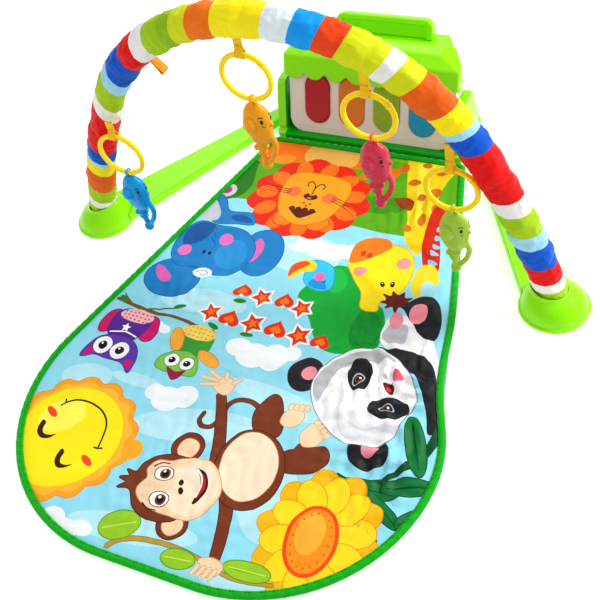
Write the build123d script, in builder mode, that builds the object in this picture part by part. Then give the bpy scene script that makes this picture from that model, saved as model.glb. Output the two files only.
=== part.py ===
"""Activity play gym: a padded play mat, a toy piano on a stand, and a striped arch with toys.

Millimetres, +Z up, +X across the gym, +Y from the round end of the mat towards the piano.
The origin is on the floor, in the middle of the whole gym.
"""

from build123d import *
from math import cos, degrees, hypot, radians, sin, tan
import os

os.makedirs("parts", exist_ok=True)

# ---- driving dimensions -------------------------------------------------------------------
# clearances
soft_gap = 0.3  # between cloth and its neighbours
slide_gap = 0.4  # round keys, knobs and the piano in its stand
plug_gap = 0.1  # between a tube and what it plugs into, per side
seat_gap = 0.2  # between shells that are screwed together

# mat
mat_length = 783.0
mat_neck_width = 340.0
mat_flare = 14.3  # degrees by which each long side opens out
mat_round = 235.0  # radius of the round end
mat_neck_round = 14.0
mat_thick = 6.0
binding_width = 9.0
binding_thick = 6.8
mat_to_rear = 149.0  # from the neck of the mat to the rearmost point of the piano
tab_length = 24.0
tab_width = 26.0
tab_thick = 1.2

# arch
arch_setback = 250.0  # from the neck of the mat forward to the plane of the arch
mouth_span = 724.0  # between the middles of the two sockets, at their mouths
mouth_height = 41.0
arch_rise = 379.0  # from the mouths to the crown, on the middle line
leg_lean = 16.3  # degrees from upright at the mouths
shoulder_lean = 30.0  # degrees from upright where the legs meet the crown
tube_radius = 11.0
tube_wall = 2.0
spigot_length = 25.0
collar_length = 10.0  # of the step inside the tube that carries the spigot
sleeve_radius = 23.5
sleeve_inset = 20.0  # how far the sleeve goes down into each socket

# domed feet and arms
dome_radius = 45.0
dome_offset = 7.0  # the dome's middle is this much further out than the mouth
dome_top = 37.0
dome_wall = 2.5
pad_height = 3.0  # rubber pads that everything stands on
pad_radius = 7.0
plate_thick = 2.0
cup_depth = 25.0
cup_wall = 2.6
peg_length = 18.0
arm_top = 18.0
arm_wall = 2.4
arm_inner_start = (-43.0, -5.0)  # where the arm's edges leave the dome, from its middle
arm_outer_start = (12.0, 37.0)
arm_root_front = 42.0  # from the neck of the mat back to the arm's root
arm_root_width = 47.0
tongue_width = 28.0
tongue_height = 5.0
tongue_reach = 14.0

# stand under the piano
fin_gap = 4.5  # between the piano's side and the fin beside it
stand_depth = 108.0
stand_top = 14.0
stand_wall = 2.5
stand_front_gap = 2.0
fin_thick = 16.0
fin_height = 98.0
fin_front = 34.0  # how far the fin's front edge leans back over its height
fin_crown = 36.0  # depth of the fin at its top
fin_round = 13.0
stand_round = 8.0

# piano
panel_tilt = 70.0  # degrees from the floor
panel_setback = 19.0  # from the neck of the mat to the lower ends of the keys
panel_low = 32.0  # height of the lower ends of the keys
piano_width = 286.0
piano_depth = 74.0
piano_top = 122.0
piano_wall = 2.5
panel_round = 25.0
front_half = 22.0  # how much of the depth belongs to the front shell
side_taper = 45.0  # how far each side of the case comes in towards its back
full_depth = 8.0  # depth over which the case keeps its full width
key_count = 4
key_margin = 21.0  # from the end keys' pitch lines to the piano's sides
key_space = 16.0  # between neighbouring keys
key_length = 84.0
key_proud = 3.0
key_travel = 3.0
key_flange = 2.0
roof_beyond = 7.0  # on each side of the piano
roof_low = 104.0
roof_skin = 2.8
roof_flat = 142.0  # height of the flat rear part that carries the handle
roof_crest = 157.0
roof_overhang = 9.0
scallop_count = 8
scallop_radius = 21.0
handle_width = 168.0
handle_thick = 18.0
handle_height = 34.0
handle_round = 16.0
switch_travel = 6.0

# rings and toys
front_ring = (-0.848, 58.0)  # share of the crown radius, and drop from the tube's middle to the wire
under_rings = [(-0.104, 27.0), (0.427, 32.0), (0.757, 40.0)]  # share of that radius, and loop height
ring_radius = 34.5
ring_wire = 3.5
loop_width = 12.0
loop_thick = 1.2
loop_eye = 4.7
front_loop_height = 26.0  # of a loop sewn to the front of the sleeve, above the ring's wire
toy_length = 120.0
toy_head_long = 34.0
toy_head_deep = 22.0
toy_head_thick = 32.0
toy_wall = 2.0
eyelet_hole = 4.3
eyelet_wall = 2.6
eyelet_width = 6.0
ear_radius = 10.0
ear_proud = 4.0

# fasteners
screw_radius = 1.5
screw_head = 3.0
screw_head_thick = 2.0

# ---- places worked out from the dimensions -----------------------------------------------
overall_depth = mat_length + mat_to_rear
neck_y = overall_depth / 2 - mat_to_rear
end_y = -overall_depth / 2
arch_y = neck_y - arch_setback
mouth_x = mouth_span / 2
dome_x = mouth_x + dome_offset
stand_front = neck_y + stand_front_gap
stand_back = stand_front + stand_depth
stand_width = piano_width + 2 * (fin_gap + fin_thick + stand_wall)
stand_x = stand_width / 2
rear_width = piano_width - 2 * side_taper
roof_width = piano_width + 2 * roof_beyond
roof_rear_width = rear_width + 2 * roof_beyond + 2
scallop_pitch = roof_width / scallop_count
slope = tan(radians(panel_tilt))
panel_y = neck_y + panel_setback
key_pitch = (piano_width - 2 * key_margin) / key_count
key_width = key_pitch - key_space
key_xs = [(i - (key_count - 1) / 2) * key_pitch for i in range(key_count)]
panel = Plane(
    origin=(0, panel_y, panel_low),
    x_dir=(1, 0, 0),
    z_dir=(0, -sin(radians(panel_tilt)), cos(radians(panel_tilt))),
)

# The middle line of the arch is a crown arc and two leg arcs that meet it smoothly.
lean_c, lean_s = cos(radians(leg_lean)), sin(radians(leg_lean))
turn_c, turn_s = cos(radians(shoulder_lean)), sin(radians(shoulder_lean))
solve = (lean_c - turn_c) * (1 - turn_s) - turn_c * (turn_s - lean_s)
leg_radius = (mouth_x * (1 - turn_s) - turn_c * arch_rise) / solve
crown_radius = ((lean_c - turn_c) * arch_rise - (turn_s - lean_s) * mouth_x) / solve
crown_z = mouth_height + arch_rise - crown_radius
leg_centre_x = mouth_x - leg_radius * lean_c
leg_centre_z = mouth_height - leg_radius * lean_s
arch_plane = Plane.XZ.offset(-arch_y)
crown_start = shoulder_lean
crown_sweep = 180 - 2 * shoulder_lean
leg_sweep = shoulder_lean - leg_lean


def save(builder, name):
    """Label one finished piece and write it."""
    builder.part.label = name
    export_step(builder.part, f"parts/{name}.step")


def arch_point(angle, inward=0.0):
    """A point of the crown arc, angle in degrees from +X, moved inward from the middle line."""
    reach = crown_radius - inward
    return (reach * cos(radians(angle)), arch_y, crown_z + reach * sin(radians(angle)))


def leg_axis(side):
    """The plane at a socket's mouth, whose Z runs up the leg."""
    return Plane(
        origin=(side * mouth_x, arch_y, mouth_height),
        x_dir=(0, 1, 0),
        z_dir=(-side * lean_s, 0, lean_c),
    )


def leg_arc(side, first, sweep_angle):
    """Arc of a leg, from first degrees of lean onwards."""
    if side > 0:
        return CenterArc((leg_centre_x, leg_centre_z), leg_radius, first, sweep_angle)
    return CenterArc((-leg_centre_x, leg_centre_z), leg_radius, 180 - first, -sweep_angle)


def crown_arc(side, first, sweep_angle):
    """Arc of the crown that starts first degrees from the floor on the given side."""
    if side > 0:
        return CenterArc((0, crown_z), crown_radius, first, sweep_angle)
    return CenterArc((0, crown_z), crown_radius, 180 - first, -sweep_angle)


# ---- mat ---------------------------------------------------------------------------------
flare = tan(radians(mat_flare))


def mat_outline(inset):
    """Neck, flared sides and round end, moved in by inset."""
    half_neck = mat_neck_width / 2
    half_end = half_neck + mat_length * flare
    corners = [(half_end, end_y), (half_neck, neck_y), (-half_neck, neck_y), (-half_end, end_y)]
    with BuildSketch() as outline:
        with BuildLine():
            Polyline(*corners, close=True)
        make_face()
        fillet(outline.vertices().group_by(Axis.Y)[0], mat_round)
        fillet(outline.vertices().group_by(Axis.Y)[-1], mat_neck_round)
        if inset > 0:
            offset(amount=-inset, mode=Mode.REPLACE)
    return outline.sketch


with BuildPart() as mat_pad:
    add(mat_outline(binding_width + soft_gap))
    extrude(amount=mat_thick)
save(mat_pad, "mat_pad")

with BuildPart() as mat_binding:
    with BuildSketch():
        add(mat_outline(0))
        add(mat_outline(binding_width), mode=Mode.SUBTRACT)
    extrude(amount=binding_thick)
save(mat_binding, "mat_binding")

tab_xs = [-mat_neck_width / 4, mat_neck_width / 4]
tab_middle_z = pad_height + plate_thick + soft_gap + tab_thick / 2
with BuildPart() as mat_tabs:
    for x in tab_xs:
        with BuildSketch(Plane.XZ.offset(-neck_y - soft_gap)):
            with Locations((x, tab_middle_z)):
                Rectangle(tab_width, tab_thick)
    extrude(amount=-tab_length)
save(mat_tabs, "mat_tabs")

# ---- stand -------------------------------------------------------------------------------
plan = Plane.XY.offset(pad_height)
stand_middle_y = (stand_front + stand_back) / 2
fin_inner = stand_x - stand_wall - fin_thick
fin_points = [
    (stand_front + 2, stand_top - 4),
    (stand_front + fin_front, fin_height),
    (stand_front + fin_front + fin_crown, fin_height),
    (stand_back - 4, stand_top - 4),
]
root_front = neck_y + arm_root_front
root_back = root_front + arm_root_width
root_middle = (root_front + root_back) / 2
tongue_z = pad_height + plate_thick + 1.2 + tongue_height / 2
screw_reach = stand_x - 46
stand_screw_points = [
    (x, y) for x in (-screw_reach, 0, screw_reach) for y in (stand_front + 16, stand_back - 16)
]

with BuildPart() as stand:
    with BuildSketch(plan):
        with Locations((0, stand_middle_y)):
            RectangleRounded(stand_width, stand_depth, stand_round)
    extrude(amount=stand_top - pad_height)
    for side in (-1, 1):
        with BuildSketch(Plane.YZ.offset(side * fin_inner)) as fin:
            Polygon(*fin_points, align=None)
            fillet(fin.vertices().group_by(Axis.Z)[-1], fin_round)
        extrude(amount=side * fin_thick)
    with BuildSketch(plan):
        with Locations((0, stand_middle_y)):
            RectangleRounded(
                stand_width - 2 * stand_wall, stand_depth - 2 * stand_wall, stand_round - stand_wall
            )
    extrude(amount=stand_top - pad_height - stand_wall, mode=Mode.SUBTRACT)
    for side in (-1, 1):
        with BuildSketch(Plane.YZ.offset(side * (fin_inner + stand_wall))) as hollow:
            Polygon(*fin_points, align=None)
            fillet(hollow.vertices().group_by(Axis.Z)[-1], fin_round)
            offset(amount=-stand_wall, mode=Mode.REPLACE)
        extrude(amount=side * (fin_thick - 2 * stand_wall), mode=Mode.SUBTRACT)
        with BuildSketch(Plane.YZ.offset(side * (stand_x - 2 * stand_wall))):
            with Locations((root_middle, tongue_z)):
                Rectangle(tongue_width + 2 * seat_gap, tongue_height + 2 * seat_gap)
        extrude(amount=side * 3 * stand_wall, mode=Mode.SUBTRACT)
    with BuildSketch(Plane.XZ.offset(-stand_front + stand_wall)):
        with Locations(*[(x, tab_middle_z) for x in tab_xs]):
            Rectangle(tab_width + 2 * slide_gap, tab_thick + 2 * soft_gap)
    extrude(amount=-3 * stand_wall, mode=Mode.SUBTRACT)
    with BuildSketch(plan.offset(plate_thick)):
        with Locations(*stand_screw_points):
            Circle(4)
            Circle(screw_radius, mode=Mode.SUBTRACT)
    extrude(amount=stand_top - pad_height - plate_thick - stand_wall)
save(stand, "stand")

with BuildPart() as stand_plate:
    with BuildSketch(plan):
        with Locations((0, stand_middle_y)):
            RectangleRounded(
                stand_width - 2 * stand_wall - 2 * seat_gap,
                stand_depth - 2 * stand_wall - 2 * seat_gap,
                stand_round - stand_wall - seat_gap,
            )
        with Locations(*stand_screw_points):
            Circle(screw_radius + plug_gap, mode=Mode.SUBTRACT)
    extrude(amount=plate_thick)
save(stand_plate, "stand_plate")


def screws(plane, points, length):
    """Pan-head screws with their heads on the near side of plane and shanks along its Z."""
    with BuildPart() as group:
        with BuildSketch(plane):
            with Locations(*points):
                Circle(screw_head)
        extrude(amount=-screw_head_thick)
        with BuildSketch(plane):
            with Locations(*points):
                Circle(screw_radius - 0.05)
        extrude(amount=length)
    return group


save(screws(plan, stand_screw_points, 8.0), "stand_screws")

with BuildPart() as stand_feet:
    with BuildSketch(Plane.XY):
        with Locations((0, stand_middle_y)):
            with GridLocations(stand_width - 50, stand_depth - 30, 2, 2):
                Circle(pad_radius)
    extrude(amount=pad_height)
save(stand_feet, "stand_feet")

# ---- arms and domed feet -----------------------------------------------------------------
def foot_points(side, reach, angles):
    """Points on a circle under a dome."""
    return [
        (side * dome_x + reach * cos(radians(a)), arch_y + reach * sin(radians(a))) for a in angles
    ]


def arm_outline(side):
    """Plan of one tapered arm, from the dome to the side of the stand."""
    root_x = stand_x + seat_gap
    return [
        (side * (dome_x + arm_inner_start[0]), arch_y + arm_inner_start[1]),
        (side * root_x, root_front),
        (side * root_x, root_back),
        (side * (dome_x + arm_outer_start[0]), arch_y + arm_outer_start[1]),
    ]


boss_angles = (90, 210, 330)
pad_angles = (30, 150, 270)


def make_arm(side):
    """Channel bar that ends in the round plate below a dome, with a tongue for the stand."""
    with BuildPart() as arm:
        with BuildSketch(plan):
            Polygon(*arm_outline(side), align=None)
        extrude(amount=arm_top - pad_height)
        fillet(arm.edges().group_by(Axis.Z)[-1].sort_by(Axis.Y)[1:3], 1.5)
        with BuildSketch(plan) as inside:
            Polygon(*arm_outline(side), align=None)
            offset(amount=-arm_wall, mode=Mode.REPLACE)
        extrude(amount=arm_top - pad_height - arm_wall, mode=Mode.SUBTRACT)
        with BuildSketch(plan):
            with Locations((side * dome_x, arch_y)):
                Circle(dome_radius + slide_gap)
        extrude(amount=arm_top, mode=Mode.SUBTRACT)
        with BuildSketch(plan):
            with Locations((side * dome_x, arch_y)):
                Circle(dome_radius + 3)
            Polygon(*arm_outline(side), align=None, mode=Mode.INTERSECT)
            with Locations((side * dome_x, arch_y)):
                Circle(dome_radius - 0.5)
            with Locations(*foot_points(side, dome_radius - 9, boss_angles)):
                Circle(screw_radius + plug_gap, mode=Mode.SUBTRACT)
        extrude(amount=plate_thick)
        with BuildSketch(Plane.YZ.offset(side * (stand_x + seat_gap + arm_wall))):
            with Locations((root_middle, tongue_z)):
                Rectangle(tongue_width, tongue_height)
        extrude(amount=-side * (tongue_reach + arm_wall))
    return arm


def dome_form(side, inset):
    """The dome as a full solid, moved in by inset."""
    base_z = pad_height + plate_thick + seat_gap
    foot = (dome_radius - inset, base_z)
    lip = (dome_radius - inset, base_z + 3)
    swell = (dome_radius * 0.83 - inset, dome_top * 0.68 - inset)
    crest = (dome_radius * 0.5, dome_top - inset)
    with BuildPart() as form:
        with BuildSketch(Plane((side * dome_x, arch_y, 0), x_dir=(1, 0, 0), z_dir=(0, -1, 0))):
            with BuildLine():
                Polyline((0, base_z), foot, lip)
                ThreePointArc(lip, swell, crest)
                Polyline(crest, (0, dome_top - inset), (0, base_z))
            make_face()
        revolve(axis=Axis((side * dome_x, arch_y, 0), (0, 0, 1)))
    return form.part


def make_dome(side):
    """Domed foot with a leaning socket cup, a peg for the tube and three screw bosses."""
    base_z = pad_height + plate_thick + seat_gap
    boss_points = foot_points(side, dome_radius - 9, boss_angles)
    cup_inner = sleeve_radius + 2 * slide_gap
    mouth = leg_axis(side)
    with BuildPart() as bosses:
        with BuildSketch(Plane.XY.offset(base_z)):
            with Locations(*boss_points):
                Circle(3.6)
        extrude(amount=dome_top)
        add(dome_form(side, 0), mode=Mode.INTERSECT)
    with BuildPart() as dome:
        add(dome_form(side, 0))
        add(dome_form(side, dome_wall), mode=Mode.SUBTRACT)
        with BuildSketch(mouth.offset(-cup_depth - cup_wall)):
            Circle(cup_inner + cup_wall)
        extrude(amount=cup_depth + cup_wall + 2)
        add(bosses.part)
        with BuildSketch(mouth.offset(-cup_depth)):
            Circle(cup_inner)
        extrude(amount=cup_depth + 40, mode=Mode.SUBTRACT)
        with BuildSketch(mouth.offset(-cup_depth - 1)):
            Circle(tube_radius - tube_wall - plug_gap)
        extrude(amount=peg_length + 1)
        with BuildSketch(Plane.XY.offset(base_z)):
            with Locations(*boss_points):
                Circle(screw_radius)
        extrude(amount=6, mode=Mode.SUBTRACT)
    return dome


for side, name in ((-1, "left"), (1, "right")):
    save(make_arm(side), f"{name}_arm")
    save(make_dome(side), f"{name}_dome")
    with BuildPart() as pads:
        with BuildSketch(Plane.XY):
            with Locations(*foot_points(side, dome_radius - 9, pad_angles)):
                Circle(pad_radius)
        extrude(amount=pad_height)
    save(pads, f"{name}_dome_pads")
    points = foot_points(side, dome_radius - 9, boss_angles)
    save(screws(plan, points, 7.0), f"{name}_dome_screws")

# ---- arch tubes and sleeve ----------------------------------------------------------------


def ring_section(plane, outer, inner):
    """Round section with a round hole."""
    with BuildSketch(plane) as section:
        Circle(outer)
        Circle(inner, mode=Mode.SUBTRACT)
    return section.sketch


tube_inner = tube_radius - tube_wall
spigot_turn = degrees(spigot_length / crown_radius)
collar_turn = degrees(collar_length / leg_radius)


def shoulder_plane(side, lean, radius_x, radius_z, reach):
    """Plane across the arch where it leans by lean degrees from upright."""
    c, s = cos(radians(lean)), sin(radians(lean))
    origin = (side * (radius_x + reach * c), arch_y, radius_z + reach * s)
    return Plane(origin=origin, x_dir=(0, 1, 0), z_dir=(-side * s, 0, c))


def make_leg_tube(side):
    """Leg tube, with a spigot at its top that plugs into the crown tube."""
    mouth = leg_axis(side)
    foot = mouth.offset(-cup_depth + slide_gap)
    with BuildPart() as tube:
        with BuildLine(arch_plane) as path:
            start = (side * mouth_x + side * (cup_depth - slide_gap) * lean_s,
                     mouth_height - (cup_depth - slide_gap) * lean_c)
            Line(start, (side * mouth_x, mouth_height))
            leg_arc(side, leg_lean, leg_sweep)
        add(ring_section(foot, tube_radius, tube_inner))
        sweep(path=path.line)
        with BuildLine(arch_plane) as collar:
            leg_arc(side, shoulder_lean - collar_turn, collar_turn)
        low = shoulder_plane(side, shoulder_lean - collar_turn, leg_centre_x, leg_centre_z, leg_radius)
        add(ring_section(low, tube_radius - tube_wall / 2, tube_inner - tube_wall))
        sweep(path=collar.line)
        with BuildLine(arch_plane) as spigot:
            crown_arc(side, crown_start, spigot_turn)
        top = shoulder_plane(side, shoulder_lean, 0, crown_z, crown_radius)
        add(ring_section(top, tube_inner - plug_gap, tube_inner - tube_wall))
        sweep(path=spigot.line)
    return tube


for side, name in ((-1, "left"), (1, "right")):
    save(make_leg_tube(side), f"{name}_arch_tube")

with BuildPart() as crown_tube:
    with BuildLine(arch_plane) as path:
        crown_arc(1, crown_start, crown_sweep)
    add(ring_section(shoulder_plane(1, shoulder_lean, 0, crown_z, crown_radius), tube_radius, tube_inner))
    sweep(path=path.line)
save(crown_tube, "crown_arch_tube")

with BuildPart() as sleeve:
    with BuildLine(arch_plane) as path:
        foot_x = mouth_x + sleeve_inset * lean_s
        foot_z = mouth_height - sleeve_inset * lean_c
        Line((foot_x, foot_z), (mouth_x, mouth_height))
        leg_arc(1, leg_lean, leg_sweep)
        crown_arc(1, crown_start, crown_sweep)
        CenterArc((-leg_centre_x, leg_centre_z), leg_radius, 180 - shoulder_lean, leg_sweep)
        Line((-mouth_x, mouth_height), (-foot_x, foot_z))
    add(ring_section(leg_axis(1).offset(-sleeve_inset), sleeve_radius, tube_radius + soft_gap))
    sweep(path=path.line)
save(sleeve, "arch_sleeve")

# ---- webbing loops, rings and toys ---------------------------------------------------------
def ring_places():
    """Where each ring's wire is highest, and how far its loop runs up from there."""
    front_x = front_ring[0] * crown_radius
    front_top = crown_z + (crown_radius**2 - front_x**2) ** 0.5 - front_ring[1]
    places = [(front_x, arch_y - sleeve_radius - ring_wire, front_top, front_loop_height)]
    for share, height in under_rings:
        x = share * crown_radius
        far = abs(x) + loop_width / 2
        underside = crown_z + ((crown_radius - sleeve_radius) ** 2 - far**2) ** 0.5
        places.append((x, arch_y, underside - soft_gap - height, height))
    return places


for number, (x, ring_y, wire_top, height) in enumerate(ring_places(), 1):
    z = wire_top - ring_radius
    wire_low = z - ring_radius

    with BuildPart() as loop:
        with BuildSketch(Plane.YZ.offset(x - loop_width / 2)):
            for reach, mode in ((loop_eye + loop_thick, Mode.ADD), (loop_eye, Mode.SUBTRACT)):
                with Locations((ring_y, wire_top)):
                    Circle(reach, mode=mode)
                with Locations((ring_y, wire_top + height / 2 - (loop_eye + loop_thick - reach) / 2)):
                    Rectangle(2 * reach, height - (loop_eye + loop_thick - reach), mode=mode)
        extrude(amount=loop_width)
    save(loop, f"ring_loop_{number}")

    with BuildPart() as ring:
        with BuildSketch(Plane((x, ring_y, z), x_dir=(1, 0, 0), z_dir=(0, 0, 1))):
            with Locations((ring_radius, 0)):
                Circle(ring_wire)
        revolve(axis=Axis((x, ring_y, z), (0, 1, 0)))
        clasp = Plane((x, ring_y, z), x_dir=(cos(radians(40)), 0, sin(radians(40))), z_dir=(0, 1, 0))
        with BuildSketch(clasp.offset(-ring_wire - 1)):
            with Locations((ring_radius, 0)):
                RectangleRounded(2 * ring_wire + 2, 9, 2)
        extrude(amount=2 * ring_wire + 2)
    save(ring, f"ring_{number}")

    head_z = wire_low - eyelet_hole - eyelet_wall - toy_head_long + 3
    foot_z = wire_low - toy_length + 8
    chin_z = head_z - toy_head_long

    with BuildPart() as toy:
        with BuildSketch(Plane.XZ.offset(-ring_y - toy_head_thick / 2)):
            with Locations((x, head_z)):
                Ellipse(toy_head_deep, toy_head_long)
        extrude(amount=toy_head_thick)
        fillet(toy.edges(), 9)
        with BuildSketch(Plane.XZ.offset(-ring_y - toy_head_thick / 2 - ear_proud)):
            with Locations((x - 5, head_z + 4)):
                Circle(ear_radius)
        extrude(amount=toy_head_thick + 2 * ear_proud)
        with BuildSketch(Plane.XY.offset(foot_z)):
            with Locations((x, ring_y)):
                Circle(5)
        extrude(amount=chin_z - foot_z + 4)
        with Locations((x, ring_y, foot_z)):
            Sphere(8)
        cheek = (x + toy_head_deep * 0.85, ring_y, head_z - toy_head_long * 0.45)
        limb = Vector(x, ring_y, foot_z) - Vector(*cheek)
        with BuildSketch(Plane(cheek, z_dir=limb)):
            Circle(4)
        extrude(amount=limb.length)
        with BuildSketch(Plane.YZ.offset(x - eyelet_width / 2)):
            with Locations((ring_y, wire_low)):
                Circle(eyelet_hole + eyelet_wall)
        extrude(amount=eyelet_width)
        with BuildSketch(Plane.YZ.offset(x - eyelet_width)):
            with Locations((ring_y, wire_low)):
                Circle(eyelet_hole)
        extrude(amount=2 * eyelet_width, mode=Mode.SUBTRACT)
        with BuildSketch(Plane.XZ.offset(-ring_y - toy_head_thick / 2 + toy_wall)):
            with Locations((x, head_z)):
                Ellipse(toy_head_deep - 6, toy_head_long - 7)
        extrude(amount=toy_head_thick - 2 * toy_wall, mode=Mode.SUBTRACT)

    middle = Plane.XZ.offset(-ring_y)
    for half, keep in (("front", Keep.TOP), ("back", Keep.BOTTOM)):
        with BuildPart() as toy_half:
            add(toy.part)
            split(bisect_by=middle, keep=keep)
        save(toy_half, f"toy_{number}_{half}")

    with BuildPart() as beads:
        for dx, dy, dz in ((-5, -4, -18), (4, 5, -17), (5, -6, -12), (-6, 5, -10), (0, 0, -9)):
            with Locations((x + dx, ring_y + dy, head_z + dz)):
                Sphere(2.5)
    save(beads, f"toy_{number}_beads")

with BuildPart() as spare_loop:
    tab_x, _, tab_z = arch_point(126, sleeve_radius + soft_gap)
    hang = Plane((tab_x, arch_y, tab_z), x_dir=(0, 1, 0), z_dir=(tab_x, 0, tab_z - crown_z))
    with BuildSketch(hang.offset(-loop_thick)):
        Rectangle(loop_width + 4, 4)
    extrude(amount=-20)
save(spare_loop, "spare_loop")

# ---- piano -------------------------------------------------------------------------------


def side_y(height, back=False):
    """Where the leaning front or back of the piano is, at a height."""
    shift = piano_depth / sin(radians(panel_tilt)) if back else 0
    return panel_y + (height - panel_low) / slope + shift


piano_foot = stand_top + 0.1
half_width = piano_width / 2
parting = panel.offset(-front_half)
rear = panel.offset(-piano_depth)
case_screw_points = [(x, v) for x in (-key_pitch, key_pitch) for v in (13.5, 91)]
case_screw_seat = panel.offset(-piano_depth + 12)
speaker_at = (61.0, 56.0)
speaker_radius = 24.0
door_at = (-57.0, 56.0)
door_size = (62.0, 52.0)
door_screw_at = (door_at[0] - 28.5, door_at[1] - 8)
cell_radius = 7.1
cell_length = 50.0
cell_pitch = 16.0
post_points = [(x, v) for x in (17 - half_width, half_width - 17) for v in (32, 48)]
board_front = 16.6
board_thick = 1.6
switch_at = (66.0, -14.0)
knob_size = (8.0, 5.0)


def case_block(inset):
    """The leaning case, which narrows towards its back, moved in by inset on every side."""
    corners = [
        (side_y(piano_foot), piano_foot),
        (side_y(piano_top), piano_top),
        (side_y(piano_top, True), piano_top),
        (side_y(piano_foot, True), piano_foot),
    ]
    across = Plane(
        origin=panel.origin,
        x_dir=(1, 0, 0),
        z_dir=(0, cos(radians(panel_tilt)), sin(radians(panel_tilt))),
    )
    half_rear = rear_width / 2
    taper = [
        (-half_width, 0),
        (half_width, 0),
        (half_width, full_depth),
        (half_rear, piano_depth),
        (-half_rear, piano_depth),
        (-half_width, full_depth),
    ]
    low = (piano_foot - panel_low) / sin(radians(panel_tilt)) + inset
    with BuildPart() as block:
        with BuildSketch(Plane.YZ):
            Polygon(*corners, align=None)
            if inset > 0:
                offset(amount=-inset, mode=Mode.REPLACE)
        extrude(amount=piano_width, both=True)
        with BuildSketch(across):
            Polygon(*taper, align=None)
            if inset > 0:
                offset(amount=-inset, mode=Mode.REPLACE)
        extrude(amount=2 * piano_top, both=True, mode=Mode.INTERSECT)
        with BuildSketch(panel.offset(20)) as face:
            with Locations((0, low + piano_top)):
                Rectangle(piano_width - 2 * inset, 2 * piano_top)
            fillet(face.vertices().group_by(Axis.Z)[0], panel_round - inset)
        extrude(amount=-2 * piano_depth, mode=Mode.INTERSECT)
    return block.part


narrowing = (piano_width - rear_width) / 2 / (piano_depth - full_depth)
side_turn = hypot(1, narrowing)
side_point = panel.from_local_coords(
    (half_width - (-switch_at[1] - full_depth) * narrowing, switch_at[0], switch_at[1])
)
tilt_c, tilt_s = cos(radians(panel_tilt)), sin(radians(panel_tilt))
side_face = Plane(
    origin=side_point,
    x_dir=(0, tilt_c, tilt_s),
    z_dir=(1 / side_turn, narrowing * tilt_s / side_turn, -narrowing * tilt_c / side_turn),
)

with BuildPart() as front_shell:
    add(case_block(0))
    add(case_block(piano_wall), mode=Mode.SUBTRACT)
    split(bisect_by=parting, keep=Keep.TOP)
    with BuildSketch(panel.offset(1)):
        with Locations(*[(x, key_length / 2) for x in key_xs]):
            SlotOverall(key_length + 2 * slide_gap, key_width + 2 * slide_gap, rotation=90)
    extrude(amount=-piano_wall - 2, mode=Mode.SUBTRACT)
    with BuildSketch(parting):
        with Locations(*case_screw_points):
            Circle(4.5)
    extrude(amount=front_half - piano_wall)
    with BuildSketch(panel.offset(-board_front)):
        with Locations(*post_points):
            Circle(3.5)
    extrude(amount=board_front - piano_wall)
    with BuildSketch(parting):
        with Locations(*case_screw_points):
            Circle(screw_radius)
    extrude(amount=front_half - 6, mode=Mode.SUBTRACT)
    with BuildSketch(panel.offset(-board_front)):
        with Locations(*post_points):
            Circle(screw_radius)
    extrude(amount=8, mode=Mode.SUBTRACT)
    with BuildSketch(side_face.offset(2)):
        Rectangle(knob_size[0] + switch_travel + 2 * slide_gap, knob_size[1] + 2 * slide_gap)
    extrude(amount=-16, mode=Mode.SUBTRACT)
save(front_shell, "front_shell")

with BuildPart() as back_shell:
    add(case_block(0))
    add(case_block(piano_wall), mode=Mode.SUBTRACT)
    split(bisect_by=parting.offset(-0.05), keep=Keep.BOTTOM)
    with BuildSketch(rear.offset(piano_wall)):
        with Locations(*case_screw_points):
            Circle(4.5)
    extrude(amount=piano_depth - front_half - piano_wall - 0.05)
    with BuildSketch(rear.offset(-1)):
        with Locations(*case_screw_points):
            Circle(screw_head + slide_gap)
    extrude(amount=13, mode=Mode.SUBTRACT)
    with BuildSketch(rear.offset(-1)):
        with Locations(*case_screw_points):
            Circle(screw_radius)
    extrude(amount=piano_depth, mode=Mode.SUBTRACT)
    with BuildSketch(rear.offset(-1)):
        with Locations(door_at):
            Rectangle(door_size[0] + 2 * slide_gap, door_size[1] + 2 * slide_gap)
    extrude(amount=piano_wall + 2, mode=Mode.SUBTRACT)
    with BuildSketch(rear.offset(-1)):
        with Locations(speaker_at):
            Circle(1.6)
        for reach, count in ((6.5, 6), (13, 12), (19.5, 18)):
            with Locations(speaker_at):
                with PolarLocations(reach, count):
                    Circle(1.6)
    extrude(amount=piano_wall + 2, mode=Mode.SUBTRACT)
save(back_shell, "back_shell")

save(screws(case_screw_seat, case_screw_points, 38.0), "case_screws")

for x, colour in zip(key_xs, ("red", "orange", "green", "blue")):
    with BuildPart() as key:
        with BuildSketch(panel.offset(key_proud)):
            with Locations((x, key_length / 2)):
                SlotOverall(key_length, key_width, rotation=90)
        extrude(amount=-key_proud - piano_wall - 1)
        fillet(key.edges().filter_by(lambda e: panel.to_local_coords(e).center().Z > key_proud - 0.1), 1.4)
        with BuildSketch(panel.offset(-piano_wall - slide_gap)):
            with Locations((x, key_length / 2)):
                SlotOverall(key_length + 2 * key_flange, key_width + 2 * key_flange, rotation=90)
        extrude(amount=-1.4)
        with BuildSketch(panel.offset(-piano_wall - 1)):
            with Locations((x, key_length / 2 + 6)):
                Circle(4)
        extrude(amount=-5.5)
    save(key, f"{colour}_key")

with BuildPart() as membrane:
    with BuildSketch(panel.offset(-board_front)):
        with Locations((0, 53)):
            RectangleRounded((key_count - 1) * key_pitch + key_width + 8, 54, 4)
    extrude(amount=1.2)
    with BuildSketch(panel.offset(-board_front + 1.2)):
        with Locations(*[(x, key_length / 2 + 6) for x in key_xs]):
            Circle(6)
    extrude(amount=2.0, taper=20)
save(membrane, "key_membrane")

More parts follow.
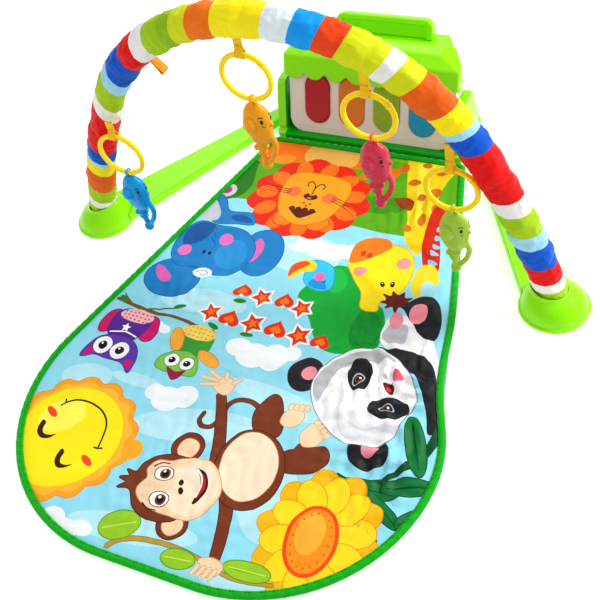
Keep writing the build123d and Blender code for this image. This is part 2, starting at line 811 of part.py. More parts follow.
with BuildPart() as board:
    with BuildSketch(panel.offset(-board_front)):
        with Locations((0, 53)):
            RectangleRounded(piano_width - 24, 56, 3)
        with Locations(*post_points):
            Circle(screw_radius + plug_gap, mode=Mode.SUBTRACT)
    extrude(amount=-board_thick)
    with BuildSketch(panel.offset(-board_front - board_thick)):
        with Locations((-30, 50), (10, 62), (50, 46)):
            Rectangle(14, 10)
    extrude(amount=-2)
save(board, "circuit_board")
save(screws(panel.offset(-board_front - board_thick), post_points, 7.0), "board_screws")

with BuildPart() as speaker:
    with BuildSketch(rear.offset(piano_wall + 0.5)):
        with Locations(speaker_at):
            Circle(speaker_radius)
    extrude(amount=4)
    with BuildSketch(rear.offset(piano_wall + 4.5)):
        with Locations(speaker_at):
            Circle(speaker_radius - 6)
    extrude(amount=8, taper=15)
    with BuildSketch(rear.offset(piano_wall)):
        with Locations(speaker_at):
            Circle(speaker_radius - 5)
    extrude(amount=2, mode=Mode.SUBTRACT)
save(speaker, "speaker")

tray_depth = 17.5
with BuildPart() as battery_tray:
    with BuildSketch(rear.offset(piano_wall)):
        with Locations(door_at):
            Rectangle(door_size[0] + 4, door_size[1] + 4)
    extrude(amount=tray_depth)
    with BuildSketch(rear.offset(piano_wall)):
        with Locations(door_at):
            Rectangle(door_size[0] + 1, door_size[1] + 1)
    extrude(amount=tray_depth - 1.5, mode=Mode.SUBTRACT)
    with BuildSketch(rear.offset(piano_wall)):
        with Locations(door_screw_at):
            Circle(2.8)
    extrude(amount=tray_depth - 1)
    with BuildSketch(rear.offset(piano_wall)):
        with Locations(door_screw_at):
            Circle(screw_radius)
    extrude(amount=12, mode=Mode.SUBTRACT)
save(battery_tray, "battery_tray")

with BuildPart() as battery_door:
    with BuildSketch(rear):
        with Locations(door_at):
            RectangleRounded(door_size[0], door_size[1], 2)
        with Locations(door_screw_at):
            Circle(screw_radius + plug_gap, mode=Mode.SUBTRACT)
    extrude(amount=piano_wall - 0.1)
save(battery_door, "battery_door")
save(screws(rear, [door_screw_at], 10.0), "door_screw")

cell_row = rear.offset(piano_wall + 1 + cell_radius)
with BuildPart() as cells:
    for step in (-1, 0, 1):
        start = cell_row.from_local_coords((door_at[0] - 25, door_at[1] + step * cell_pitch, 0))
        with BuildSketch(Plane(start, z_dir=(1, 0, 0))):
            Circle(cell_radius)
        extrude(amount=cell_length - 1)
        with BuildSketch(Plane(start, z_dir=(1, 0, 0)).offset(cell_length - 1)):
            Circle(2.6)
        extrude(amount=1)
save(cells, "battery_cells")

with BuildPart() as contacts:
    with BuildSketch(cell_row.offset(-4)):
        for x in (door_at[0] - 25.7, door_at[0] + 25.7):
            with Locations(*[(x, door_at[1] + step * cell_pitch) for step in (-1, 0, 1)]):
                Rectangle(1.0, 9.0)
    extrude(amount=8)
save(contacts, "battery_contacts")

with BuildPart() as knob:
    with BuildSketch(side_face.offset(-piano_wall - 1.6)):
        with Locations((-switch_travel / 2, 0)):
            Rectangle(*knob_size)
    extrude(amount=piano_wall + 1.6 + 2.0)
    fillet(knob.edges().group_by(Axis.X)[-1], 0.8)
    with BuildSketch(side_face.offset(-piano_wall - slide_gap)):
        with Locations((-switch_travel / 2, 0)):
            Rectangle(knob_size[0] + 4, knob_size[1] + 3)
    extrude(amount=-1.2)
save(knob, "switch_knob")

with BuildPart() as switch_body:
    with BuildSketch(side_face.offset(-piano_wall - 2.2)):
        Rectangle(24, 7)
    extrude(amount=-5)
save(switch_body, "switch_body")

# ---- awning roof and carrying handle --------------------------------------------------------
roof_front = side_y(roof_low) - roof_overhang
brow = roof_front + (roof_flat - roof_low) / slope
roof_back = overall_depth / 2 - 4


def roof_block(inset, low):
    """The roof's outside, or its inside when inset is the skin's thickness."""
    profile = [
        (roof_front - (roof_low - low) / slope, low),
        (brow, roof_flat),
        (brow + 20, roof_crest),
        (brow + 44, roof_crest),
        (brow + 60, roof_flat),
        (roof_back, roof_flat),
        (roof_back, low),
    ]
    half = roof_width / 2
    outline = [
        (-half, low),
        (half, low),
        (half, roof_flat),
        (half - 42, roof_crest + 3),
        (-half + 42, roof_crest + 3),
        (-half, roof_flat),
    ]
    plan_points = [
        (-half, roof_front - 30),
        (half, roof_front - 30),
        (half, roof_front + 30),
        (roof_rear_width / 2, roof_back),
        (-roof_rear_width / 2, roof_back),
        (-half, roof_front + 30),
    ]
    with BuildPart() as block:
        with BuildSketch(Plane.YZ):
            Polygon(*profile, align=None)
            if inset > 0:
                offset(amount=-inset, mode=Mode.REPLACE)
        extrude(amount=roof_width, both=True)
        with BuildSketch(Plane.XZ.offset(-roof_front + 50)):
            Polygon(*outline, align=None)
            if inset > 0:
                offset(amount=-inset, mode=Mode.REPLACE)
        extrude(amount=-300, mode=Mode.INTERSECT)
        with BuildSketch(Plane.XY):
            Polygon(*plan_points, align=None)
            if inset > 0:
                offset(amount=-inset, mode=Mode.REPLACE)
        extrude(amount=200, mode=Mode.INTERSECT)
    return block.part


post_reach = rear_width / 2 - 14
roof_posts = [
    (x, y)
    for x in (-post_reach, post_reach)
    for y in (side_y(piano_top) + 14, side_y(piano_top, True) - 9)
]
scallop_middles = [(i - (scallop_count - 1) / 2) * scallop_pitch for i in range(scallop_count)]
with BuildPart() as roof_legs:
    with BuildSketch(Plane.XY.offset(piano_top + 0.1)):
        with Locations(*roof_posts):
            Circle(4)
            Circle(screw_radius, mode=Mode.SUBTRACT)
    extrude(amount=roof_crest - piano_top)
    add(roof_block(0, roof_low), mode=Mode.INTERSECT)

with BuildPart() as roof:
    add(roof_block(0, roof_low))
    add(roof_block(roof_skin, roof_low - 20), mode=Mode.SUBTRACT)
    with BuildSketch(Plane.XZ.offset(-roof_front + 10)) as notch:
        with Locations((0, roof_low)):
            Rectangle(roof_width + 10, 20)
        with Locations(*[(x, roof_low + scallop_radius) for x in scallop_middles]):
            Circle(scallop_radius, mode=Mode.SUBTRACT)
    extrude(amount=-10 - 6, mode=Mode.SUBTRACT)
    add(roof_legs.part)
save(roof, "awning_roof")

handle_foot_y = overall_depth / 2 - handle_height * tilt_c - handle_thick * tilt_s
with BuildPart() as handle:
    lean = Plane(
        origin=(0, handle_foot_y, roof_flat),
        x_dir=(1, 0, 0),
        z_dir=(0, -sin(radians(panel_tilt)), cos(radians(panel_tilt))),
    )
    with BuildSketch(lean) as face:
        with Locations((0, 0)):
            Rectangle(handle_width, 2 * handle_height)
        fillet(face.vertices().group_by(Axis.Z)[-1], handle_round)
    extrude(amount=-handle_thick)
    with BuildSketch(lean):
        with Locations((0, 0)):
            Rectangle(handle_width - 24, 2 * handle_height - 20)
    extrude(amount=-5, mode=Mode.SUBTRACT)
    with BuildSketch(Plane.XY.offset(roof_flat)):
        with Locations((0, handle_foot_y)):
            Rectangle(2 * handle_width, 300)
    extrude(amount=-100, mode=Mode.SUBTRACT)
save(handle, "carry_handle")
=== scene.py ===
"""Looks of the activity play gym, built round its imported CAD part. Metres, +Z up."""

import math

import bmesh
import bpy
import numpy as np
from mathutils import Matrix, Vector, noise
from mathutils.geometry import delaunay_2d_cdt


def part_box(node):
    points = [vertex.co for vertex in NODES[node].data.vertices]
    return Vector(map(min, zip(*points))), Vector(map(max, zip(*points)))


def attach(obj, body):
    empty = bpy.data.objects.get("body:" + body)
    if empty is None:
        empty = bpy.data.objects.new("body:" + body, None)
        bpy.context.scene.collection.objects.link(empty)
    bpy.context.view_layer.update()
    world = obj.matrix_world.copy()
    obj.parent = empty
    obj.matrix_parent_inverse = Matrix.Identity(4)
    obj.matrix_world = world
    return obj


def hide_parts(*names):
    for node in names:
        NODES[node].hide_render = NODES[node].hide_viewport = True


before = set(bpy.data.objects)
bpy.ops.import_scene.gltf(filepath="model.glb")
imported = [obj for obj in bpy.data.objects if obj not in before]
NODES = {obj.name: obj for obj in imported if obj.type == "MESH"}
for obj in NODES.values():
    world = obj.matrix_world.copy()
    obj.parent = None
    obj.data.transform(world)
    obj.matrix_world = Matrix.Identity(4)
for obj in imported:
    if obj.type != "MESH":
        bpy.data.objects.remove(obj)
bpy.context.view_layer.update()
MM = 0.001


# ---- colour and shader groups --------------------------------------------------------------
def linear(rgb):
    """Linear colour from 0 to 255 display values."""
    out = []
    for value in rgb:
        c = value / 255
        out.append(c / 12.92 if c <= 0.04045 else ((c + 0.055) / 1.055) ** 2.4)
    return (*out, 1.0)


def new_group(name, inputs, outputs):
    """An empty shader node group with its sockets; returns it with its input and output nodes."""
    group = bpy.data.node_groups.new(name, "ShaderNodeTree")
    for label, kind, default in inputs:
        sock = group.interface.new_socket(name=label, in_out="INPUT", socket_type=kind)
        if default is not None:
            sock.default_value = default
    for label, kind in outputs:
        group.interface.new_socket(name=label, in_out="OUTPUT", socket_type=kind)
    return group, group.nodes.new("NodeGroupInput"), group.nodes.new("NodeGroupOutput")


def put(tree, kind, values=None, links=None, **settings):
    """Adds a node, sets its values by socket name and links its inputs."""
    node = tree.nodes.new(kind)
    for key, value in settings.items():
        setattr(node, key, value)
    for key, value in (values or {}).items():
        node.inputs[key].default_value = value
    for key, source in (links or {}).items():
        tree.links.new(source, node.inputs[key])
    return node


def math_node(tree, operation, a, b, clamp=False):
    """A Math node whose operands are sockets or numbers."""
    node = tree.nodes.new("ShaderNodeMath")
    node.operation = operation
    node.use_clamp = clamp
    for i, value in enumerate((a, b)):
        if isinstance(value, (int, float)):
            node.inputs[i].default_value = value
        else:
            tree.links.new(value, node.inputs[i])
    return node.outputs[0]


def mix_colour(tree, factor, a, b, blend="MIX"):
    """A colour Mix node whose operands are sockets or values."""
    node = tree.nodes.new("ShaderNodeMix")
    node.data_type = "RGBA"
    node.blend_type = blend
    for slot, value in ((0, factor), (6, a), (7, b)):
        if isinstance(value, (int, float, tuple)):
            node.inputs[slot].default_value = value
        else:
            tree.links.new(value, node.inputs[slot])
    return node.outputs[2]


def make_moulded():
    """Moulded plastic: faint mottling, fine grain, scuffs and a painted highlight on sharp convex edges."""
    group, src, out = new_group(
        "moulded",
        [
            ("Colour", "NodeSocketColor", (0.5, 0.5, 0.5, 1)),
            ("Mottle", "NodeSocketFloat", 0.05),
            ("Grain", "NodeSocketFloat", 0.1),
            ("Roughness", "NodeSocketFloat", 0.3),
        ],
        [("Colour", "NodeSocketColor"), ("Roughness", "NodeSocketFloat"), ("Normal", "NodeSocketVector")],
    )
    at = group.nodes.new("ShaderNodeTexCoord").outputs["Object"]
    broad = put(group, "ShaderNodeTexNoise", {"Scale": 14.0, "Detail": 3.0}, {"Vector": at}).outputs["Fac"]
    fine = put(group, "ShaderNodeTexNoise", {"Scale": 900.0, "Detail": 2.0}, {"Vector": at}).outputs["Fac"]
    ripple = put(group, "ShaderNodeTexNoise", {"Scale": 55.0, "Detail": 2.0}, {"Vector": at}).outputs["Fac"]
    scuff = put(
        group, "ShaderNodeTexNoise", {"Scale": 120.0, "Detail": 6.0, "Distortion": 1.5}, {"Vector": at}
    ).outputs["Fac"]
    shade = math_node(group, "MULTIPLY", math_node(group, "SUBTRACT", broad, 0.5), src.outputs["Mottle"])
    level = math_node(group, "ADD", math_node(group, "MULTIPLY", shade, 2.0), 1.0)
    toned = put(group, "ShaderNodeVectorMath", links={0: src.outputs["Colour"]}, operation="SCALE")
    group.links.new(level, toned.inputs["Scale"])
    # Painted highlight: colour lightened towards warm white on sharp convex edges, found by pointiness.
    point = group.nodes.new("ShaderNodeNewGeometry").outputs["Pointiness"]
    edge = math_node(group, "MULTIPLY", math_node(group, "SUBTRACT", point, 0.53), 5.0, clamp=True)
    with_edge_highlight = mix_colour(group, math_node(group, "MULTIPLY", edge, 0.25), toned.outputs[0], (1.0, 1.0, 0.9, 1.0))
    rub = math_node(group, "MULTIPLY", math_node(group, "SUBTRACT", scuff, 0.5), 0.3)
    rough = math_node(group, "ADD", src.outputs["Roughness"], rub, clamp=True)
    first = put(group, "ShaderNodeBump", {"Distance": 0.0006, "Strength": 0.12}, {"Height": ripple})
    second = put(
        group,
        "ShaderNodeBump",
        {"Distance": 0.0003},
        {"Height": fine, "Strength": src.outputs["Grain"], "Normal": first.outputs[0]},
    )
    group.links.new(with_edge_highlight, out.inputs["Colour"])
    group.links.new(rough, out.inputs["Roughness"])
    group.links.new(second.outputs[0], out.inputs["Normal"])
    return group


def make_woven():
    """Woven cloth: crossing threads, slubs, soft creases with painted shade in their hollows, and a slight fade."""
    group, src, out = new_group(
        "woven",
        [
            ("Colour", "NodeSocketColor", (0.5, 0.5, 0.5, 1)),
            ("Vector", "NodeSocketVector", None),
            ("Threads", "NodeSocketFloat", 900.0),
            ("Depth", "NodeSocketFloat", 0.3),
            ("Creases", "NodeSocketFloat", 0.3),
            ("Roughness", "NodeSocketFloat", 0.6),
        ],
        [("Colour", "NodeSocketColor"), ("Roughness", "NodeSocketFloat"), ("Normal", "NodeSocketVector")],
    )
    at = src.outputs["Vector"]
    warp = put(
        group,
        "ShaderNodeTexWave",
        {"Distortion": 0.6, "Detail": 1.0, "Detail Scale": 2.0},
        {"Vector": at, "Scale": src.outputs["Threads"]},
        bands_direction="X",
    ).outputs["Fac"]
    weft = put(
        group,
        "ShaderNodeTexWave",
        {"Distortion": 0.6, "Detail": 1.0, "Detail Scale": 2.0},
        {"Vector": at, "Scale": src.outputs["Threads"]},
        bands_direction="Y",
    ).outputs["Fac"]
    threads = math_node(group, "MULTIPLY", warp, weft)
    crease = put(
        group,
        "ShaderNodeTexNoise",
        {"Scale": 32.0, "Detail": 5.0, "Roughness": 0.6, "Distortion": 1.2},
        {"Vector": at},
    ).outputs["Fac"]
    slub = put(group, "ShaderNodeTexNoise", {"Scale": 420.0, "Detail": 3.0}, {"Vector": at}).outputs["Fac"]
    fade = put(group, "ShaderNodeTexNoise", {"Scale": 6.0, "Detail": 2.0}, {"Vector": at}).outputs["Fac"]
    a = math_node(group, "MULTIPLY", math_node(group, "SUBTRACT", slub, 0.5), 0.16)
    b = math_node(group, "MULTIPLY", math_node(group, "SUBTRACT", fade, 0.5), 0.14)
    # Painted shade: the crease heights that bump the normal also darken the colour in their hollows and lighten it on
    # their ridges.
    c = math_node(group, "MULTIPLY", math_node(group, "SUBTRACT", crease, 0.5), 0.12)
    d = math_node(group, "MULTIPLY", math_node(group, "SUBTRACT", threads, 0.25), 0.10)
    level = math_node(group, "ADD", math_node(group, "ADD", a, b), math_node(group, "ADD", c, d))
    toned = put(group, "ShaderNodeVectorMath", links={0: src.outputs["Colour"]}, operation="SCALE")
    group.links.new(math_node(group, "ADD", level, 1.0), toned.inputs["Scale"])
    rough = math_node(group, "ADD", src.outputs["Roughness"], a, clamp=True)
    first = put(
        group,
        "ShaderNodeBump",
        {"Distance": 0.004},
        {"Height": crease, "Strength": src.outputs["Creases"]},
    )
    second = put(
        group,
        "ShaderNodeBump",
        {"Distance": 0.0003},
        {"Height": threads, "Strength": src.outputs["Depth"], "Normal": first.outputs[0]},
    )
    group.links.new(toned.outputs[0], out.inputs["Colour"])
    group.links.new(rough, out.inputs["Roughness"])
    group.links.new(second.outputs[0], out.inputs["Normal"])
    return group


MOULDED = make_moulded()
WOVEN = make_woven()


def plastic(name, rgb, rough=0.3, mottle=0.05, grain=0.1, coat=0.2, scatter=0.0):
    """A moulded plastic or rubber."""
    material = bpy.data.materials.new(name)
    material.use_nodes = True
    tree = material.node_tree
    shader = tree.nodes["Principled BSDF"]
    group = put(
        tree, "ShaderNodeGroup", {}, node_tree=MOULDED
    )
    for key, value in (("Colour", linear(rgb)), ("Mottle", mottle), ("Grain", grain), ("Roughness", rough)):
        group.inputs[key].default_value = value
    tree.links.new(group.outputs["Colour"], shader.inputs["Base Color"])
    tree.links.new(group.outputs["Roughness"], shader.inputs["Roughness"])
    tree.links.new(group.outputs["Normal"], shader.inputs["Normal"])
    shader.inputs["Specular IOR Level"].default_value = 0.3
    shader.inputs["Coat Weight"].default_value = coat
    shader.inputs["Coat Roughness"].default_value = 0.12
    shader.inputs["Subsurface Weight"].default_value = scatter
    shader.inputs["Subsurface Radius"].default_value = (0.004, 0.003, 0.002)
    return material


def cloth(name, rgb=None, paint=None, threads=900.0, depth=0.3, creases=0.3, rough=0.6, sheen=0.15, mapped=None):
    """A woven fabric of one colour, or coloured by the mesh's own paint."""
    material = bpy.data.materials.new(name)
    material.use_nodes = True
    tree = material.node_tree
    shader = tree.nodes["Principled BSDF"]
    group = put(tree, "ShaderNodeGroup", node_tree=WOVEN)
    for key, value in (("Threads", threads), ("Depth", depth), ("Creases", creases), ("Roughness", rough)):
        group.inputs[key].default_value = value
    if paint:
        source = put(tree, "ShaderNodeVertexColor", layer_name=paint)
        tree.links.new(source.outputs["Color"], group.inputs["Colour"])
    else:
        group.inputs["Colour"].default_value = linear(rgb)
    if mapped:
        where = put(tree, "ShaderNodeUVMap", uv_map=mapped)
        tree.links.new(where.outputs["UV"], group.inputs["Vector"])
    else:
        where = tree.nodes.new("ShaderNodeTexCoord")
        tree.links.new(where.outputs["Object"], group.inputs["Vector"])
    tree.links.new(group.outputs["Colour"], shader.inputs["Base Color"])
    tree.links.new(group.outputs["Roughness"], shader.inputs["Roughness"])
    tree.links.new(group.outputs["Normal"], shader.inputs["Normal"])
    shader.inputs["Specular IOR Level"].default_value = 0.22
    shader.inputs["Sheen Weight"].default_value = sheen
    shader.inputs["Sheen Roughness"].default_value = 0.5
    return material


LIME = plastic("lime_moulded", (150, 236, 4), 0.30, 0.06, 0.10, 0.12, 0.05)
# Dark green as painted shade, for the floor of the stand's tray, its uprights' inward faces and its plate.
SHADE_GREEN = plastic("green_painted_shade", (8, 168, 26), 0.42, 0.06, 0.15, 0.10)
RUBBER = plastic("rubber_grey", (45, 46, 48), 0.75, 0.10, 0.35, 0.0)
STEEL = plastic("zinc_plated", (176, 178, 182), 0.32, 0.08, 0.10, 0.0)
TUBE = plastic("tube_white", (228, 228, 222), 0.40, 0.04, 0.10, 0.10)
YELLOW = plastic("yellow_moulded", (255, 222, 10), 0.28, 0.05, 0.08, 0.14, 0.15)
TOY_BLUE = plastic("toy_blue", (8, 158, 226), 0.30, 0.06, 0.10, 0.14, 0.10)
TOY_GOLD = plastic("toy_gold", (236, 164, 22), 0.30, 0.06, 0.10, 0.14, 0.10)
TOY_PINK = plastic("toy_pink", (214, 62, 92), 0.30, 0.06, 0.10, 0.14, 0.10)
TOY_LIME = plastic("toy_lime", (172, 206, 70), 0.30, 0.06, 0.10, 0.14, 0.10)
WHITE = plastic("white_moulded", (232, 224, 216), 0.30, 0.03, 0.08, 0.20, 0.05)
RED = plastic("red_moulded", (184, 16, 24), 0.24, 0.08, 0.06, 0.40, 0.05)
ORANGE = plastic("orange_moulded", (222, 124, 8), 0.24, 0.08, 0.06, 0.40, 0.05)
OLIVE = plastic("olive_moulded", (146, 176, 6), 0.24, 0.08, 0.06, 0.40, 0.05)
BLUE = plastic("blue_moulded", (4, 152, 196), 0.24, 0.08, 0.06, 0.40, 0.05)
BLACK = plastic("black_moulded", (16, 15, 18), 0.45, 0.05, 0.15, 0.05)
INK = plastic("printed_ink", (48, 22, 20), 0.35, 0.03, 0.05, 0.10)
SILICONE = plastic("silicone_white", (205, 205, 200), 0.6, 0.04, 0.2, 0.0)
BOARD = plastic("board_green", (14, 86, 44), 0.4, 0.08, 0.2, 0.2)
BRASS = plastic("contact_brass", (200, 158, 84), 0.3, 0.08, 0.1, 0.0)
for metal in (STEEL, BRASS):
    metal.node_tree.nodes["Principled BSDF"].inputs["Metallic"].default_value = 1.0
PRINT = cloth("printed_satin", paint="print", threads=520.0, depth=0.22, creases=0.22, rough=0.45, sheen=0.0)
BINDING = cloth("green_binding", (6, 178, 22), threads=420.0, depth=0.5, creases=0.25, rough=0.55, mapped="run")
THREAD = cloth("green_thread", (20, 132, 26), threads=1500.0, depth=0.5, creases=0.1, rough=0.6)
KNIT = cloth(
    "striped_knit", paint="stripes", threads=560.0, depth=0.35, creases=0.5, rough=0.5, sheen=0.0, mapped="run"
)
TAPE = cloth("yellow_tape", (252, 204, 20), threads=700.0, depth=0.7, creases=0.1, rough=0.55)
TAPE_ORANGE = cloth("orange_tape", (240, 158, 28), threads=700.0, depth=0.7, creases=0.1, rough=0.55)
BACKING = cloth("white_backing", (226, 228, 226), threads=520.0, depth=0.4, creases=0.3, rough=0.8)


# ---- mesh helpers --------------------------------------------------------------------------
def piece(name, points, faces, material, body, stands_for=(), finish=None, smooth=True):
    """A mesh from plain lists, shaded, riding on a body and standing for CAD nodes."""
    mesh = bpy.data.meshes.new(name)
    mesh.from_pydata([tuple(p) for p in points], [], faces)
    mesh.validate()
    if smooth:
        mesh.shade_smooth()
    obj = bpy.data.objects.new(name, mesh)
    bpy.context.scene.collection.objects.link(obj)
    if material:
        mesh.materials.append(material)
    settle(obj, body, stands_for)
    return obj


def settle(obj, body, stands_for=()):
    """Rides and replaces a piece whose place is already right."""
    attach(obj, body)
    if stands_for:
        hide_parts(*stands_for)


def apply_modifiers(obj):
    """Bakes an object's modifiers into its mesh."""
    bpy.context.view_layer.update()
    graph = bpy.context.evaluated_depsgraph_get()
    mesh = bpy.data.meshes.new_from_object(obj.evaluated_get(graph), preserve_all_data_layers=True, depsgraph=graph)
    obj.modifiers.clear()
    obj.data = mesh
    return obj


def soften(name, nodes, material, body, voxel=1.4, rounds=6):
    """A moulded piece with rounded edges, made from CAD nodes that it stands for."""
    joined = bmesh.new()
    for node in nodes:
        joined.from_mesh(NODES[node].data)
    mesh = bpy.data.meshes.new(name)
    joined.to_mesh(mesh)
    joined.free()
    obj = bpy.data.objects.new(name, mesh)
    bpy.context.scene.collection.objects.link(obj)
    remesh = obj.modifiers.new("remesh", "REMESH")
    remesh.mode = "VOXEL"
    remesh.voxel_size = voxel * MM
    remesh.adaptivity = 0.0
    relax = obj.modifiers.new("relax", "SMOOTH")
    relax.iterations = rounds
    relax.factor = 0.5
    apply_modifiers(obj)
    obj.data.materials.clear()
    obj.data.materials.append(material)
    obj.data.shade_smooth()
    settle(obj, body, nodes)
    return obj


def tube(path, radii, sides=16, closed=False, flat=1.0, up=Vector((0, 0, 1))):
    """Points and faces of a round or oval tube along a path, with domed ends when open."""
    path = [Vector(p) for p in path]
    count = len(path)
    points, faces = [], []
    side_way = None
    for i, p in enumerate(path):
        ahead = path[(i + 1) % count] if closed or i < count - 1 else p
        behind = path[i - 1] if closed or i > 0 else p
        along = (ahead - behind).normalized()
        if side_way is None:
            side_way = along.cross(up)
            if side_way.length < 1e-4:
                side_way = along.cross(Vector((0, 1, 0)))
        side_way = (side_way - along * side_way.dot(along)).normalized()
        rise = side_way.cross(along)
        radius = radii[i] if hasattr(radii, "__len__") else radii
        for k in range(sides):
            angle = 2 * math.pi * k / sides
            points.append(p + side_way * (radius * math.cos(angle)) + rise * (radius * flat * math.sin(angle)))
    for i in range(count if closed else count - 1):
        for k in range(sides):
            a, b = i * sides + k, i * sides + (k + 1) % sides
            c, d = ((i + 1) % count) * sides + (k + 1) % sides, ((i + 1) % count) * sides + k
            faces.append((a, b, c, d))
    if not closed:
        faces.append(tuple(range(sides - 1, -1, -1)))
        faces.append(tuple((count - 1) * sides + k for k in range(sides)))
    return points, faces


def merged(parts):
    """Joins (points, faces) pairs into one."""
    points, faces = [], []
    for more, ring in parts:
        start = len(points)
        points += more
        faces += [tuple(start + i for i in f) for f in ring]
    return points, faces


def curve_through(points, per=8, closed=False):
    """A smooth curve through points of any dimension, as a list of tuples."""
    pts = [np.array(p, float) for p in points]
    n = len(pts)
    out = []
    for i in range(n if closed else n - 1):
        a = pts[i - 1] if closed or i > 0 else pts[i]
        b, c = pts[i], pts[(i + 1) % n]
        d = pts[(i + 2) % n] if closed or i + 2 < n else c
        for k in range(per):
            t = k / per
            out.append(
                tuple(
                    0.5
                    * (2 * b + (c - a) * t + (2 * a - 5 * b + 4 * c - d) * t * t + (3 * b - a - 3 * c + d) * t**3)
                )
            )
    if not closed:
        out.append(tuple(pts[-1]))
    return out


# ---- floor, light and camera ---------------------------------------------------------------
def make_floor():
    """A wide flat pale floor, under everything by less than half a millimetre."""
    cells, reach = 40, 40.0
    points = []
    for j in range(cells + 1):
        for i in range(cells + 1):
            x, y = (i / cells - 0.5) * 2 * reach, (j / cells - 0.5) * 2 * reach
            points.append((x, y, -0.0004))
    wide = cells + 1
    faces = [(j * wide + i, j * wide + i + 1, (j + 1) * wide + i + 1, (j + 1) * wide + i)
             for j in range(cells) for i in range(cells)]
    mesh = bpy.data.meshes.new("floor")
    mesh.from_pydata(points, [], faces)
    floor = bpy.data.objects.new("floor", mesh)
    bpy.context.scene.collection.objects.link(floor)
    mesh.materials.append(plastic("floor_white", (248, 248, 248), 0.7, 0.01, 0.05, 0.0))
    shader = mesh.materials[0].node_tree.nodes["Principled BSDF"]
    shader.inputs["Emission Color"].default_value = (1, 1, 1, 1)
    shader.inputs["Emission Strength"].default_value = 0.32


def area_light(name, place, target, size, power, tint=(1, 1, 1)):
    """A square soft light aimed at a point."""
    data = bpy.data.lights.new(name, "AREA")
    data.size, data.energy, data.color = size, power, tint
    lamp = bpy.data.objects.new(name, data)
    bpy.context.scene.collection.objects.link(lamp)
    lamp.location = place
    lamp.rotation_mode = "QUATERNION"
    lamp.rotation_quaternion = (Vector(place) - Vector(target)).to_track_quat("Z", "Y")


def make_camera(azimuth=33.8, elevation=48.2, roll=-14.3, distance=1.384, target=(0.0176, -0.0133, 0.0)):
    """The camera, high up in front of the round end and to the right, tipped a little to one side."""
    a, e, r = math.radians(azimuth), math.radians(elevation), math.radians(roll)
    back = Vector((math.sin(a) * math.cos(e), -math.cos(a) * math.cos(e), math.sin(e)))
    level = Vector((math.cos(a), math.sin(a), 0))
    rise = back.cross(level)
    right = level * math.cos(r) + rise * math.sin(r)
    up = rise * math.cos(r) - level * math.sin(r)
    data = bpy.data.cameras.new("camera")
    data.lens, data.sensor_width = 56.6, 36.0
    camera = bpy.data.objects.new("camera", data)
    bpy.context.scene.collection.objects.link(camera)
    turn = Matrix((right, up, back)).transposed().to_4x4()
    camera.matrix_world = Matrix.Translation(Vector(target) + back * distance) @ turn
    bpy.context.scene.camera = camera


make_floor()
make_camera()
area_light("key", (1.5, 0.9, 1.5), (0, 0.0, 0.05), 0.8, 33, (1.0, 0.99, 0.97))
area_light("fill", (-1.3, -1.2, 1.9), (0, 0, 0.1), 1.8, 11, (0.97, 0.985, 1.0))
area_light("back", (-0.9, 1.6, 1.6), (0, 0.1, 0.1), 1.4, 10)
world = bpy.data.worlds.new("studio")
bpy.context.scene.world = world
world.use_nodes = True
world.node_tree.nodes["Background"].inputs["Color"].default_value = (1.0, 1.0, 1.0, 1.0)
world.node_tree.nodes["Background"].inputs["Strength"].default_value = 0.43
bpy.context.scene.view_settings.view_transform = "Standard"
bpy.context.scene.view_settings.look = "Medium High Contrast"

# ---- mat: outline, print and cloth ---------------------------------------------------------
END_Y, NECK_Y, HALF_NECK = -466.0, 317.0, 170.0
FLARE, END_ROUND, NECK_ROUND = math.radians(14.3), 235.0, 14.0


def mat_outline(inset, step=5.0):
    """The mat's edge in mm, anticlockwise from the foot of the round end."""
    side = (math.cos(FLARE), math.sin(FLARE))

    def wide(y):
        """Half the mat's width at y, were its sides to run on."""
        return HALF_NECK + (NECK_Y - y) * math.tan(FLARE)

    low_y = END_Y + END_ROUND
    low_x = wide(low_y) - END_ROUND / side[0]
    top_y = NECK_Y - NECK_ROUND
    top_x = wide(top_y) - NECK_ROUND / side[0]
    right = []
    for k in range(41):
        angle = -math.pi / 2 + (math.pi / 2 + FLARE) * k / 40
        right.append((low_x, low_y, END_ROUND, angle))
    for k in range(9):
        angle = FLARE + (math.pi / 2 - FLARE) * k / 8
        right.append((top_x, top_y, NECK_ROUND, angle))
    rough = []
    for x, y, r, a in right:
        rough.append((x + (r - inset) * math.cos(a), y + (r - inset) * math.sin(a)))
    rough += [(-x, y) for x, y in reversed(rough)]
    out = []
    for (x0, y0), (x1, y1) in zip(rough, rough[1:] + rough[:1]):
        parts = max(1, round(math.hypot(x1 - x0, y1 - y0) / step))
        if math.hypot(x1 - x0, y1 - y0) < 1e-6:
            continue
        out += [(x0 + (x1 - x0) * k / parts, y0 + (y1 - y0) * k / parts) for k in range(parts)]
    return out


art = []  # (colour, outline in mm) from the lowest layer to the highest


def spread_out(outline, by):
    """An outline moved outward by some mm."""
    pts = np.array(outline, float)
    ahead, behind = np.roll(pts, -1, 0), np.roll(pts, 1, 0)
    along = ahead - behind
    out = np.stack([along[:, 1], -along[:, 0]], 1)
    out /= np.maximum(np.linalg.norm(out, axis=1), 1e-9)[:, None]
    area = float((pts[:, 0] * ahead[:, 1] - ahead[:, 0] * pts[:, 1]).sum())
    return [tuple(p) for p in pts + out * (by if area > 0 else -by)]


def draw(colour, outline, rim=None, wide=1.6):
    """Adds a shape, with a rim of another colour round it."""
    if rim:
        art.append((rim, spread_out(outline, wide)))
    art.append((colour, outline))


def oval(x, y, rx, ry=None, turn=0.0):
    """An ellipse's outline."""
    ry = rx if ry is None else ry
    count = 12 if max(rx, ry) < 5 else 20 if max(rx, ry) < 16 else 40
    c, s = math.cos(math.radians(turn)), math.sin(math.radians(turn))
    out = []
    for k in range(count):
        a = 2 * math.pi * k / count
        px, py = rx * math.cos(a), ry * math.sin(a)
        out.append((x + px * c - py * s, y + px * s + py * c))
    return out


def blob(*points):
    """A smooth closed outline through points."""
    return curve_through(points, 5, closed=True)


